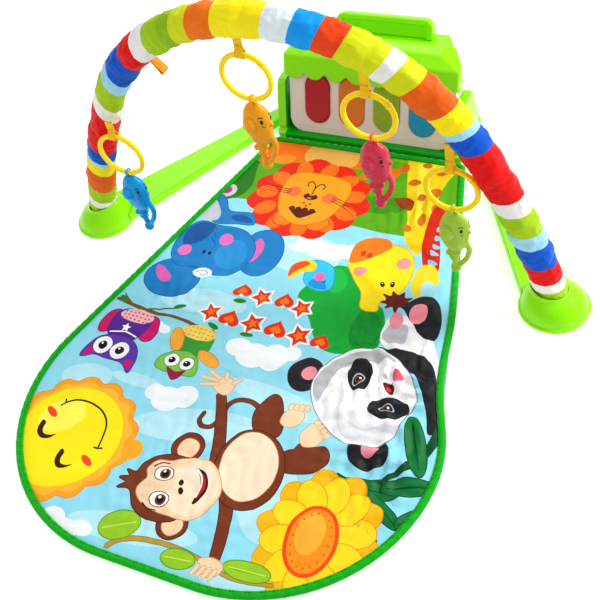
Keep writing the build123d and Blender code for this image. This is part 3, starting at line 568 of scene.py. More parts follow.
def line(points, wide, end=None, smooth=5):
    """The outline of a brush stroke along points, from one width to another, with round ends."""
    end = wide if end is None else end
    path = np.array(curve_through(points, smooth) if len(points) > 2 else points, float)
    along = np.gradient(path, axis=0)
    along /= np.maximum(np.linalg.norm(along, axis=1), 1e-9)[:, None]
    out = np.stack([-along[:, 1], along[:, 0]], 1)
    half = np.linspace(wide, end, len(path))[:, None] / 2
    left, right = path + out * half, path - out * half
    cap_end = path[-1] + along[-1] * half[-1]
    cap_start = path[0] - along[0] * half[0]
    return [tuple(p) for p in (*left, cap_end, *right[::-1], cap_start)]


def petals(x, y, rx, ry, count, depth, turn=0.0):
    """A scalloped ring's outline."""
    out = []
    for k in range(count * 6):
        a = 2 * math.pi * k / (count * 6)
        swell = 1 + depth * abs(math.cos(a * count / 2 + math.radians(turn)))
        out.append((x + rx * swell * math.cos(a), y + ry * swell * math.sin(a)))
    return out


def star(x, y, r, turn=90.0):
    """A five-pointed star's outline."""
    return [
        (
            x + (r if k % 2 == 0 else r * 0.48) * math.cos(math.radians(turn + 36 * k)),
            y + (r if k % 2 == 0 else r * 0.48) * math.sin(math.radians(turn + 36 * k)),
        )
        for k in range(10)
    ]


def heart(x, y, r, turn=0.0):
    """A heart's outline, point down at turn 0."""
    c, s = math.cos(math.radians(turn)), math.sin(math.radians(turn))
    out = []
    for k in range(28):
        t = 2 * math.pi * k / 28
        px = r * math.sin(t) ** 3
        py = r * (0.81 * math.cos(t) - 0.31 * math.cos(2 * t) - 0.125 * math.cos(3 * t) - 0.06 * math.cos(4 * t))
        out.append((x + px * c - py * s, y + px * s + py * c))
    return out


def draw_ground():
    """Sky, jungle, hill and clouds."""
    sky, pale, white = (152, 222, 240), (186, 234, 246), (244, 249, 252)
    draw(sky, oval(0, -80, 420, 520))
    for x, y, rx, ry, turn in ((-30, -260, 95, 26, 12), (60, -190, 80, 18, -8), (-120, -60, 70, 22, 5),
                               (-40, -420, 90, 20, 8), (110, -330, 40, 60, 20), (-10, 70, 60, 40, 0),
                               (-225, -230, 40, 22, 10), (140, -440, 70, 14, 6), (-150, -215, 40, 10, 0)):
        draw(pale, oval(x, y, rx, ry, turn))
    green, dark, mid, fresh = (96, 170, 22), (44, 124, 20), (70, 150, 20), (130, 190, 30)
    draw(green, blob((-260, 150), (-190, 156), (-150, 160), (-60, 150), (40, 140), (118, 138), (190, 150), (240, 200),
                     (240, 340), (0, 350), (-240, 340)))
    draw(dark, blob((-230, 158), (-176, 158), (-158, 190), (-166, 240), (-178, 330), (-250, 330)))
    draw(mid, blob((-165, 285), (-130, 296), (-95, 300), (-100, 335), (-165, 335)))
    draw(mid, blob((26, 200), (60, 214), (110, 218), (108, 190), (60, 178)))
    draw(fresh, blob((30, 285), (50, 300), (76, 300), (74, 335), (20, 335)))
    for x, y, turn in ((-150, 312, 60), (-132, 322, 100), (-112, 314, 40), (140, 326, 70), (40, 316, 110)):
        draw(fresh, oval(x, y, 17, 6, turn), dark, 1.2)
    hill = (14, 172, 62)
    draw(hill, blob((46, 56), (70, 60), (92, 46), (114, 8), (142, -2), (160, -34), (164, -72), (140, -88),
                    (96, -96), (70, -80), (46, -46), (16, -16), (22, 14), (44, 26)))
    draw((30, 190, 80), oval(60, 30, 16, 24, 20))
    draw((8, 150, 52), blob((120, -10), (150, -24), (158, -66), (130, -82), (112, -50)))
    for cloud in (((-8, 92, 24, 14), (16, 86, 24, 12), (44, 88, 26, 14), (64, 96, 16, 10)),
                  ((-30, -122, 20, 16), (-4, -130, 26, 22), (26, -126, 22, 24), (48, -112, 14, 14)),
                  ((-112, -226, 16, 13), (-90, -232, 24, 20), (-66, -222, 20, 18)),
                  ((-150, -436, 18, 12), (-128, -446, 22, 12), (-104, -440, 16, 10)),
                  ((-170, -118, 12, 8), (-156, -122, 12, 7)), ((20, 74, 26, 8), (-20, 80, 20, 7))):
        for x, y, rx, ry in cloud:
            draw(white, oval(x, y, rx, ry))


def draw_lion():
    """A lion that looks towards the piano."""
    orange, tan, gold, red = (242, 118, 22), (228, 178, 92), (238, 164, 30), (228, 46, 18)
    draw(orange, blob((-170, 250), (-120, 262), (-100, 250), (-92, 290), (-108, 330), (-190, 330), (-176, 285)))
    draw(orange, blob((-112, 262), (-60, 270), (16, 270), (26, 300), (10, 340), (-106, 340)))
    draw(tan, blob((-92, 268), (-50, 262), (-8, 270), (-4, 300), (-20, 330), (-86, 330)))
    draw(orange, blob((14, 248), (44, 252), (74, 262), (68, 280), (40, 280), (18, 270)))
    draw((250, 150, 40), oval(-128, 262, 22, 10, 8))
    draw(red, petals(-50, 184, 92, 80, 11, 0.14))
    for k in range(11):
        a = 2 * math.pi * (k + 0.5) / 11
        draw((252, 120, 26), oval(-50 + 74 * math.cos(a), 184 + 66 * math.sin(a), 19, 14, math.degrees(a)))
    for x in (-72, -14):
        draw((250, 134, 22), oval(x, 134, 18, 17), red, 1.5)
        draw((255, 200, 40), oval(x - 4, 144, 9, 8))
    draw(gold, blob((-98, 226), (-72, 238), (-34, 239), (2, 232), (12, 206), (6, 170), (-8, 142), (-34, 126),
                    (-62, 128), (-86, 146), (-98, 176), (-102, 204)), (214, 120, 12), 1.4)
    draw((244, 120, 70), oval(-80, 193, 13, 11))
    draw((244, 120, 70), oval(-16, 191, 13, 11))
    brown = (96, 26, 12)
    draw(brown, blob((-74, 158), (-60, 156), (-48, 159), (-36, 156), (-25, 158), (-34, 147), (-48, 138), (-62, 146)))
    for x in (-68, -57, -45, -33):
        draw(brown, oval(x, 158, 5, 4))
    draw(brown, blob((-60, 186), (-55, 194), (-48, 190), (-41, 194), (-36, 186), (-48, 180)))
    draw((214, 150, 120), oval(-49, 184.5, 4, 1.6))
    draw(brown, line([(-48, 192), (-48, 205), (-50, 214), (-57, 219), (-62, 214), (-60, 208)], 1.8))
    draw(brown, line([(-48, 205), (-45, 214), (-38, 219), (-33, 214), (-35, 208)], 1.8))
    for x, y in ((-53, 172), (-47, 166), (-42, 171)):
        draw(brown, oval(x, y, 1.8))
    for k in range(3):
        draw(brown, line([(-84, 196 - 4 * k), (-108, 198 - 5 * k), (-136, 204 - 8 * k)], 1.4, 0.7))
        draw(brown, line([(-12, 196 - 4 * k), (14, 188 - 6 * k), (34, 182 - 9 * k)], 1.4, 0.7))


def draw_giraffe():
    """A giraffe's neck and head at the right of the neck of the mat."""
    yellow, patch = (238, 204, 28), (206, 116, 22)
    draw(yellow, blob((74, 330), (90, 264), (104, 220), (120, 175), (128, 137), (146, 112), (162, 110), (160, 153),
                      (155, 209), (154, 264), (166, 330), (120, 345)))
    draw((246, 222, 60), blob((92, 320), (106, 264), (122, 214), (134, 168), (142, 170), (136, 220), (128, 270),
                              (120, 325)))
    for x, y, rx, ry in ((106, 254, 11, 8), (146, 238, 9, 12), (78, 284, 9, 12), (142, 178, 6, 12), (138, 290, 13, 9),
                         (112, 300, 8, 7), (126, 156, 6, 8), (128, 222, 7, 7), (155, 205, 5, 10)):
        draw(patch, blob((x - rx, y), (x - rx * 0.5, y + ry), (x + rx * 0.6, y + ry * 0.8), (x + rx, y - ry * 0.2),
                         (x + rx * 0.3, y - ry), (x - rx * 0.7, y - ry * 0.7)))
    draw((150, 66, 14), blob((86, 212), (104, 220), (118, 214), (118, 196), (106, 194)))
    draw((206, 44, 18), blob((154, 206), (170, 206), (176, 160), (190, 120), (198, 82), (182, 74), (164, 112),
                             (154, 160)))
    for k in range(5):
        low = 18 * k
        draw((150, 200, 226), blob((170 + 2 * k, 172 - low), (182 + 3 * k, 166 - low), (172 + 3 * k, 160 - low)))
    draw((240, 214, 50), blob((170, 84), (190, 90), (204, 70), (198, 44), (182, 30), (168, 50)))
    draw((170, 226, 240), blob((186, 60), (202, 58), (212, 40), (200, 28), (186, 38)))
    draw((250, 226, 30), blob((63, 73), (80, 108), (114, 118), (146, 109), (162, 81), (162, 42), (146, 14), (136, 4),
                              (137, -10), (112, -8), (104, 17), (82, 42)), (226, 170, 20), 1.2)
    draw((244, 130, 26), blob((60, 86), (62, 110), (82, 126), (108, 126), (116, 112), (96, 90), (80, 76), (66, 70)))
    draw((206, 74, 16), oval(79, 92, 4, 6))
    draw((206, 74, 16), oval(89, 91, 4, 6))
    draw((250, 158, 150), oval(145, 86, 11))
    draw((250, 158, 150), oval(88, 55, 10))
    for x, y, turn in ((129, 38, 20), (142, 44, 10)):
        draw((60, 24, 10), oval(x, y, 3.4, 5.6, turn))
        draw((255, 255, 255), oval(x - 1, y + 2, 1.1))
    for k in range(9):
        a = 2 * math.pi * k / 9
        draw((110, 32, 18), blob((160, 16), (160 + 14 * math.cos(a - 0.3), 14 + 12 * math.sin(a - 0.3)),
                                 (160 + 25 * math.cos(a), 14 + 21 * math.sin(a)),
                                 (160 + 14 * math.cos(a + 0.3), 14 + 12 * math.sin(a + 0.3))))
    draw((110, 32, 18), oval(160, 14, 17, 14))


def draw_elephant():
    """A blue elephant lying at the left edge."""
    blue, deep, pink = (34, 132, 198), (20, 92, 160), (222, 110, 186)
    draw((206, 206, 218), oval(-193, 174, 16))
    draw((190, 70, 130), oval(-193, 174, 8))
    draw(blue, blob((-200, 160), (-184, 152), (-166, 128), (-128, 130), (-114, 108), (-142, 100), (-178, 98),
                    (-198, 118)), deep, 1.4)
    draw((196, 202, 214), blob((-206, 150), (-190, 136), (-178, 118), (-180, 104), (-200, 100), (-212, 120)))
    draw(deep, blob((-158, 118), (-140, 124), (-122, 118), (-120, 110), (-146, 108)))
    draw(blue, oval(-76, 55, 34, 46, 6), deep, 1.4)
    draw(pink, blob((-92, 80), (-82, 78), (-76, 62), (-80, 40), (-90, 32), (-96, 52)))
    draw(blue, oval(-192, -28, 47, 36, -6), deep, 1.4)
    draw(pink, blob((-228, -8), (-216, -10), (-196, -24), (-194, -36), (-210, -36), (-224, -22)))
    draw(blue, blob((-222, 70), (-200, 96), (-156, 90), (-118, 88), (-92, 66), (-88, 34), (-104, 4), (-134, -6),
                    (-166, 2), (-200, 0), (-220, 26)), deep, 1.4)
    draw(deep, blob((-216, 66), (-202, 92), (-176, 94), (-170, 70), (-184, 48), (-206, 40)))
    draw((44, 148, 212), oval(-122, 40, 26, 30))
    for k in range(3):
        low = 14 * k
        draw(deep, line([(-176 + 5 * k, 90 - low), (-168 + 5 * k, 84 - low), (-164 + 5 * k, 76 - low)], 1.6, 0.8))
    draw((232, 120, 190), oval(-142, 66, 11.5))
    draw((232, 120, 190), oval(-199, 30, 11.5))
    for x in (-166, -156):
        draw((24, 30, 60), oval(x, 33.5, 2.6, 4, 10))
    draw((244, 246, 248), blob((-164, -6), (-150, 3), (-136, 0), (-134, -10), (-148, -17), (-160, -14)))
    draw((120, 176, 214), line([(-158, -8), (-148, -2), (-140, -6), (-146, -12), (-152, -9)], 1.8))


def draw_bird():
    """A small blue bird on the hill."""
    draw((56, 196, 236), blob((8, 56), (24, 62), (44, 54), (54, 34), (56, 16), (44, 6), (26, 8), (10, 22)),
         (20, 150, 210), 1.2)
    draw((246, 214, 40), blob((-14, 50), (2, 60), (18, 54), (18, 40), (4, 34), (-8, 18), (-16, 18), (-12, 34)))
    draw((232, 84, 30), blob((-16, 46), (-2, 56), (8, 52), (2, 44), (-8, 32), (-14, 20), (-18, 32)))
    draw((20, 150, 220), blob((20, 14), (34, 8), (50, 12), (40, 24), (26, 26)))
    draw((246, 110, 180), oval(32, 31, 8.5))
    draw((24, 30, 60), oval(42, 24, 2.4))
    draw((255, 255, 255), oval(41.4, 24.8, 0.8))


def draw_motif():
    """Two rows of hearts and stars in turn, each with a white rim and a warm middle."""
    white, red, warm = (250, 250, 248), (226, 56, 22), (250, 126, 24)
    upper = ((-70, -24, 15, 190), (-36, -28, 15, 172), (0, -26, 15, 184), (30, -33, 15, 176))
    lower = ((-98, -76, 15, 186), (-66, -79, 16, 176), (-30, -77, 17, 184), (8, -78, 17, 176), (45, -80, 17, 182),
             (80, -82, 15, 174))
    for row, first_heart, point in ((upper, 0, 270), (lower, 1, 262)):
        marks = []
        for k, (x, y, r, turn) in enumerate(row):
            if k % 2 == first_heart:
                marks.append((heart(x, y, r, turn), heart(x, y, r * 0.5, turn)))
            else:
                marks.append((star(x, y, r * 1.12, point), star(x, y, r * 0.55, point)))
        for outer, _ in marks:
            draw(white, spread_out(outer, 4.6))
        for outer, middle in marks:
            draw(red, outer)
            draw(warm, middle)


def draw_owls():
    """Two owls under a branch."""
    bark = (122, 92, 48)
    draw(bark, line([(-256, -86), (-200, -97), (-150, -98), (-110, -104), (-80, -106)], 7, 4))
    draw(bark, line([(-198, -95), (-176, -88), (-156, -82)], 4, 2))
    draw(bark, line([(-230, -90), (-244, -80), (-250, -74)], 4, 2))
    for x, y, turn in ((-246, -84, 150), (-150, -78, 20), (-84, -98, 160), (-30, -98, 8), (-66, -44, 10)):
        draw((40, 140, 40), oval(x, y, 10, 4, turn))
    violet, magenta = (104, 62, 178), (204, 24, 112)
    draw(magenta, oval(-243, -130, 13, 24, -12), (120, 10, 80), 1.2)
    draw(magenta, oval(-176, -129, 14, 25, 12), (120, 10, 80), 1.2)
    draw((92, 44, 150), blob((-238, -108), (-206, -100), (-180, -108), (-182, -150), (-208, -160), (-238, -150)))
    draw((246, 190, 196), oval(-206, -112, 28, 13))
    for k in range(7):
        for j in range(3):
            draw((214, 60, 90), oval(-227 + 7 * k, -120 + 7 * j, 1.8, 1.6))
    draw((255, 255, 255), star(-211, -137, 8))
    draw((255, 255, 255), line([(-232, -150), (-208, -144), (-186, -150)], 2.4))
    draw(violet, blob((-256, -200), (-248, -168), (-226, -154), (-196, -154), (-172, -172), (-168, -208), (-186, -196),
                      (-214, -194), (-236, -192)), (74, 34, 140), 1.2)
    draw(magenta, blob((-254, -198), (-248, -180), (-240, -190)))
    draw(magenta, blob((-170, -204), (-174, -186), (-184, -194)))
    for x, y in ((-231, -174), (-200, -177)):
        draw((250, 250, 252), oval(x, y, 15), (60, 24, 120), 1.0)
        draw((26, 14, 34), oval(x, y, 7))
        draw((255, 255, 255), oval(x - 2, y + 3, 1.8))
    leaf = (132, 200, 86)
    draw((70, 160, 60), blob((-122, -112), (-100, -104), (-74, -112), (-72, -146), (-100, -160), (-124, -148)))
    draw((246, 216, 110), oval(-99, -115, 27, 13))
    for k in range(7):
        for j in range(3):
            draw((226, 160, 50), oval(-119 + 7 * k, -122 + 7 * j, 1.7, 1.4))
    draw((246, 176, 66), oval(-126, -134, 10, 21, 24), (206, 120, 30), 1.0)
    draw((246, 176, 66), oval(-64, -154, 21, 9, -26), (206, 120, 30), 1.0)
    draw(leaf, blob((-136, -184), (-128, -160), (-104, -150), (-80, -158), (-70, -186), (-92, -190), (-116, -190)),
         (70, 150, 60), 1.2)
    draw((150, 34, 74), blob((-118, -182), (-102, -186), (-86, -182), (-99, -202)))
    for x, y in ((-116, -169), (-91, -170)):
        draw((250, 250, 252), oval(x, y, 11), (60, 130, 50), 1.0)
        draw((26, 14, 34), oval(x, y, 5.4))
        draw((255, 255, 255), oval(x - 2, y + 2, 1.5))


def draw_sun():
    """A sleeping sun at the round end."""
    draw((248, 170, 44), petals(-196, -327, 88, 88, 14, 0.12, 20), (238, 144, 30), 1.4)
    draw((255, 190, 60), petals(-196, -327, 82, 82, 14, 0.10, 20))
    draw((255, 176, 44), oval(-98, -318, 14, 16))
    draw((252, 234, 30), oval(-198, -327, 79), (246, 196, 30), 1.4)
    draw((255, 246, 96), oval(-222, -300, 34, 26, 35))
    brown = (66, 34, 14)
    draw(brown, line([(-229, -281), (-214, -272), (-191, -270), (-168, -278), (-152, -296), (-145, -330)], 3.0, 2.4))
    draw(brown, line([(-233, -286), (-229, -281), (-231, -275)], 2.4))
    draw(brown, line([(-151, -331), (-145, -331), (-139, -329)], 2.4))
    for x, y, turn in ((-232, -327, 0), (-181, -361, -6)):
        c, s = math.cos(math.radians(turn)), math.sin(math.radians(turn))
        arc = [(-14, 12), (-13, -4), (-3, -13), (9, -11), (17, -2), (8, -6), (-1, -6), (-6, 0), (-7, 10)]
        draw(brown, blob(*[(x + px * c - py * s, y + px * s + py * c) for px, py in arc]))
    draw((240, 82, 46), oval(-240, -299, 12, 5, -30))
    draw((240, 82, 46), oval(-149, -353, 12, 5, -30))


def draw_monkey():
    """A monkey swinging on a vine."""
    fur, dark, skin, tan, pale = (128, 62, 34), (84, 36, 18), (246, 214, 176), (206, 156, 110), (250, 228, 200)
    draw(fur, line([(44, -210), (30, -204), (12, -206), (0, -220), (-1, -238), (-8, -254), (-20, -258), (-29, -250),
                    (-27, -238)], 7, 5), dark, 1.0)
    draw((188, 160, 66), line([(-60, -450), (-48, -438), (-20, -428), (20, -425), (60, -428), (110, -438), (160, -430)],
                              7, 4), (130, 108, 40), 0.8)
    draw((188, 160, 66), line([(62, -430), (72, -438), (86, -446)], 5, 3))
    for x, y, rx, ry, turn in ((-58, -420, 27, 19, 28), (36, -437, 22, 12, 8), (124, -424, 30, 12, 4)):
        draw((154, 204, 44), oval(x, y, rx, ry, turn), (92, 150, 24), 1.2)
        c, s = math.cos(math.radians(turn)), math.sin(math.radians(turn))
        draw((204, 232, 110), line([(x - rx * 0.8 * c, y - rx * 0.8 * s), (x + rx * 0.8 * c, y + rx * 0.8 * s)], 1.4))
    draw(fur, blob((40, -222), (44, -196), (54, -182), (68, -190), (84, -226), (80, -244), (52, -244)), dark, 1.2)
    draw(fur, blob((100, -262), (124, -250), (150, -240), (162, -256), (150, -278), (120, -288), (104, -284)),
         dark, 1.2)
    draw(fur, blob((118, -240), (132, -244), (128, -258), (112, -258)))
    draw(skin, blob((78, -220), (78, -206), (86, -196), (98, -194), (106, -204), (102, -218), (90, -224)),
         tan, 1.0)
    for k in range(4):
        draw(skin, oval(84 + 7 * k, -194 + 1.5 * k, 4, 5), tan, 0.8)
    draw(skin, blob((112, -232), (118, -214), (130, -208), (144, -222), (138, -240), (122, -246)), tan, 1.0)
    for k in range(4):
        draw(skin, oval(128 + 6 * k, -208 - 5 * k, 4.5, 4.5), tan, 0.8)
    draw(fur, line([(24, -306), (14, -276), (2, -246), (-8, -222), (-18, -204)], 17, 12), dark, 1.2)
    draw(skin, blob((-32, -198), (-40, -186), (-32, -178), (-16, -176), (-6, -186), (-12, -204)), tan, 1.0)
    for ends in (((-30, -190), (-54, -196)), ((-34, -184), (-58, -184)), ((-32, -180), (-50, -172)),
                 ((-22, -178), (-26, -168)), ((-10, -182), (-2, -174))):
        draw(skin, line(ends, 6, 4.5), tan, 0.8)
    draw(fur, line([(56, -340), (66, -362), (74, -388), (80, -424)], 18, 13), dark, 1.2)
    draw(skin, blob((62, -428), (66, -440), (80, -446), (92, -440), (94, -428), (78, -422)), tan, 1.0)
    for k in range(4):
        draw(skin, line([(64 + 8 * k, -436), (60 + 8 * k, -448)], 5.5, 4.5), tan, 0.8)
    draw(fur, oval(68, -298, 46, 58, 16), dark, 1.4)
    draw(pale, oval(66, -294, 38, 50, 16), (220, 172, 124), 1.0)
    for x, y, r in ((-24, -293, 22), (8, -399, 20)):
        draw(fur, oval(x, y, r), dark, 1.4)
        draw(skin, oval(x + 1, y - 1, r * 0.68), tan, 0.8)
    draw(fur, blob((-70, -330), (-52, -314), (-26, -308), (4, -312), (20, -350), (8, -392), (-22, -402), (-52, -394),
                   (-70, -372), (-88, -374), (-80, -364), (-92, -360), (-80, -354), (-88, -346), (-74, -346)),
         dark, 1.4)
    draw(skin, blob((-52, -322), (-34, -318), (-14, -308), (8, -304), (24, -308), (40, -324), (48, -344), (42, -368),
                    (28, -386), (4, -390), (-30, -388), (-52, -380), (-62, -366), (-56, -350), (-62, -336)),
         tan, 1.2)
    draw(pale, blob((-12, -316), (10, -308), (30, -316), (44, -340), (36, -370), (18, -384), (-8, -380), (-22, -366),
                    (-14, -348), (-22, -332)))
    for x, y in ((-36, -338), (-25, -373)):
        draw((252, 252, 250), oval(x, y, 13, 10, 8), dark, 1.2)
        draw((122, 66, 30), oval(x + 2, y, 7.6))
        draw((30, 14, 10), oval(x + 2, y, 4.8))
        draw((255, 255, 255), oval(x, y + 3, 2.2))
    draw(dark, line([(-54, -332), (-46, -324), (-36, -322)], 2.4, 1.4))
    draw(dark, line([(-44, -384), (-34, -389), (-22, -388)], 2.4, 1.4))
    for x, y in ((-8, -343), (-3, -354)):
        draw((58, 26, 18), oval(x, y, 3.4, 5, 30))
    draw((58, 26, 18), blob((2, -318), (16, -320), (26, -332), (29, -346), (24, -362), (18, -364), (20, -344),
                            (12, -328)))
    draw((196, 34, 40), blob((10, -322), (20, -328), (26, -342), (22, -356), (20, -344), (14, -330)))
    draw((250, 250, 248), line([(4, -319), (14, -327), (20, -340), (20, -356)], 2.6, 2.0))


def draw_panda():
    """A panda at the right edge, with dark leaves."""
    white, grey, black, pink = (244, 244, 246), (190, 192, 198), (38, 40, 46), (244, 150, 166)
    leaf, leaf_dark = (18, 122, 62), (8, 84, 44)
    draw(white, blob((160, -16), (196, -10), (230, -34), (262, -80), (280, -130), (262, -130), (240, -96), (200, -70),
                     (164, -62)))
    draw(grey, blob((166, -26), (190, -24), (196, -50), (176, -60), (162, -50)))
    draw(black, blob((172, 10), (190, 32), (216, 28), (234, -6), (236, -38), (214, -34), (196, -18), (182, -6)))
    draw(pink, oval(198, -1, 13, 17, 10))
    draw(pink, oval(171, -18, 10, 14, 20))
    draw(black, blob((164, -74), (190, -66), (222, -66), (252, -80), (272, -120), (284, -170), (272, -182), (262, -150),
                     (240, -112), (210, -98), (180, -88)))
    draw(leaf_dark, line([(288, -168), (276, -210), (250, -250), (214, -276), (180, -272)], 14, 5))
    for x, y, rx, ry, turn in ((262, -204, 44, 13, -68), (214, -282, 48, 13, 8), (246, -300, 34, 10, -30),
                               (270, -262, 34, 11, 22), (284, -300, 20, 8, 50), (240, -330, 26, 8, -50)):
        draw(leaf, oval(x, y, rx, ry, turn), leaf_dark, 1.4)
        c, s = math.cos(math.radians(turn)), math.sin(math.radians(turn))
        draw(leaf_dark, line([(x - rx * 0.8 * c, y - rx * 0.8 * s), (x + rx * 0.8 * c, y + rx * 0.8 * s)], 1.6))
    draw(black, oval(82, -140, 25, 29))
    draw(pink, oval(86, -137, 11, 12))
    draw(black, oval(207, -232, 27, 26))
    draw(pink, oval(208, -228, 11, 13))
    draw(white, blob((96, -150), (104, -116), (128, -88), (166, -74), (200, -84), (228, -108), (246, -138), (238, -166),
                     (228, -204), (206, -224), (172, -226), (136, -208), (110, -182)), (120, 122, 130), 1.2)
    draw(grey, blob((98, -150), (108, -116), (130, -92), (168, -78), (200, -88), (180, -94), (150, -100), (126, -120),
                    (118, -150), (112, -176)))
    draw((222, 222, 228), blob((150, -190), (190, -200), (226, -180), (230, -200), (204, -220), (166, -218)))
    draw(black, oval(157, -121, 18, 27, 16))
    draw(black, oval(212, -162, 29, 18, 16))
    for x, y, turn in ((157, -129, 70), (209, -163, 20)):
        draw((196, 198, 204), oval(x, y, 11, 8, turn))
        draw((30, 30, 36), oval(x, y, 9, 6.4, turn))
        draw((120, 80, 50), oval(x, y, 5.4))
        draw((16, 14, 18), oval(x, y, 3.2))
        draw((255, 255, 255), oval(x + 2, y + 3, 1.8))
    draw((240, 110, 130), blob((204, -108), (212, -106), (219, -112), (212, -120), (204, -116)))
    draw((60, 30, 34), line([(210, -118), (204, -124)], 1.4))
    draw((110, 20, 30), blob((194, -128), (200, -122), (210, -128), (208, -136), (200, -136)))
    draw((214, 70, 80), oval(203, -132, 4, 2.6, 20))


def draw_flower():
    """A big sunflower at the right of the round end."""
    for ring, (r, wide, tone) in enumerate(((56, 25, (244, 190, 22)), (50, 22, (252, 218, 36)))):
        for k in range(10):
            a = 2 * math.pi * (k + 0.5 * ring) / 10
            draw(tone, oval(188 + r * 0.88 * math.cos(a), -357 + r * 1.12 * math.sin(a), wide * 1.15, wide * 0.82,
                            math.degrees(a)), (232, 156, 16), 1.3)
    draw((240, 84, 24), oval(182, -364, 33, 47, 4))
    draw((246, 150, 30), oval(182, -364, 28, 42, 4))
    draw((252, 178, 60), oval(178, -356, 18, 28, 4))
    for k in range(18):
        a = 2 * math.pi * k / 18
        draw((228, 120, 20), oval(182 + 23 * math.cos(a), -364 + 36 * math.sin(a), 1.8))


draw_ground()
draw_lion()
draw_giraffe()
draw_elephant()
draw_bird()
draw_motif()
draw_owls()
draw_sun()
draw_panda()
draw_flower()
draw_monkey()

# start, end, half width and height in mm of each soft fold in the mat
FOLDS = [
    ((150, -60), (262, -128), 9, 5.0), ((120, -190), (275, -176), 10, 4.5), ((176, -225), (290, -250), 11, 4.5),
    ((196, -90), (150, -200), 12, 3.0), ((225, -60), (262, -40), 8, 4.0), ((60, 60), (150, 20), 13, 3.5),
    ((120, 130), (210, 96), 10, 4.0), ((150, 180), (120, 250), 10, 3.0), ((-20, 120), (120, 150), 15, 3.0),
    ((-200, 60), (-90, 100), 14, 3.0), ((-180, -50), (-60, -20), 16, 2.5), ((-240, -120), (-120, -180), 16, 2.5),
    ((-60, -240), (60, -200), 18, 2.5), ((60, -400), (180, -330), 14, 3.0), ((-200, -400), (-90, -360), 16, 2.5),
    ((-110, 220), (0, 250), 14, 2.5), ((230, -300), (286, -320), 9, 4.0), ((130, -20), (240, 30), 10, 3.5),
    ((-20, -120), (90, -160), 15, 2.5), ((196, 30), (238, -10), 8, 4.0), ((-150, 280), (20, 290), 12, 2.5),
]
FOLD_RELIEF = 1.8  # how much higher the folds stand than listed
# middle, reach and height in mm of each crumpled patch
CRUMPLES = [
    (205, -110, 90, 7.0), (225, -250, 60, 5.0), (120, 215, 90, 3.0), (-150, -100, 120, 1.6), (0, -330, 120, 1.6),
]


def mat_rise(x, y):
    """Height in mm that the waves, folds and crumples add to the mat's top."""
    x, y = np.asarray(x, float), np.asarray(y, float)
    wave = np.zeros_like(x)
    for fx, fy, phase, tall in ((0.031, 0.017, 0.4, 0.8), (-0.019, 0.036, 1.9, 0.7), (0.052, -0.041, 2.7, 0.45),
                                (0.088, 0.063, 0.8, 0.45), (-0.11, 0.07, 4.1, 0.35), (0.16, -0.05, 3.0, 0.2)):
        wave += tall * np.sin(fx * x + fy * y + phase + 0.8 * np.sin(0.013 * y + phase))
    for (x0, y0), (x1, y1), wide, tall in FOLDS:
        dx, dy = x1 - x0, y1 - y0
        size = dx * dx + dy * dy
        t = np.clip(((x - x0) * dx + (y - y0) * dy) / size, 0, 1)
        bend = 7 * np.sin(t * 5 + x0 * 0.1)
        across = ((x - x0) * dy - (y - y0) * dx) / math.sqrt(size) + bend
        away = np.hypot(x - x0 - t * dx, y - y0 - t * dy)
        crest = np.where((t > 0) & (t < 1), np.abs(across), np.maximum(np.abs(across), away))
        taper = np.sin(np.pi * np.clip(t, 0.02, 0.98)) ** 0.6
        one_sided = np.exp(-((crest / wide) ** 2)) + 0.25 * np.exp(-(((across - 1.8 * wide) / wide) ** 2))
        wave += FOLD_RELIEF * tall * taper * np.where(away < 3 * wide, one_sided, 0)
    for middle_x, middle_y, reach, tall in CRUMPLES:
        near = np.exp(-(((x - middle_x) ** 2 + (y - middle_y) ** 2) / reach**2))
        turn = 0.075 * (x - middle_x) + 0.105 * (y - middle_y) + 2.4 * np.sin(0.047 * x - 0.031 * y)
        cross = 0.12 * (x - middle_x) - 0.05 * (y - middle_y) + 1.9 * np.sin(0.06 * y + 0.02 * x)
        wave += tall * near * (np.abs(np.sin(turn)) ** 1.5 + 0.7 * np.abs(np.sin(cross)) ** 2 - 0.6)
    return wave


def pulled(x, y):
    """Where a point of the mat comes to lie once its right edge is drawn in a little, in mm."""
    return x - 12.0 * np.exp(-(((y + 95) / 85) ** 2)) * np.clip((x - 40) / 240, 0, 1) ** 2


def inside_distance(points, outline):
    """Distance in mm of points from an outline's edge."""
    a = np.array(outline, float)
    b = np.roll(a, -1, 0)
    best = np.full(len(points), 1e9)
    for p, q in zip(a, b):
        d = q - p
        t = np.clip(((points - p) @ d) / max(d @ d, 1e-9), 0, 1)
        best = np.minimum(best, np.linalg.norm(points - p - t[:, None] * d, axis=1))
    return best


def in_outline(points, outline):
    """Whether points are inside an outline."""
    a = np.array(outline, float)
    b = np.roll(a, -1, 0)
    inside = np.zeros(len(points), bool)
    for (x0, y0), (x1, y1) in zip(a, b):
        cross = (y0 > points[:, 1]) != (y1 > points[:, 1])
        with np.errstate(divide="ignore", invalid="ignore"):
            at = (x1 - x0) * (points[:, 1] - y0) / (y1 - y0) + x0
        inside ^= cross & (points[:, 0] < at)
    return inside


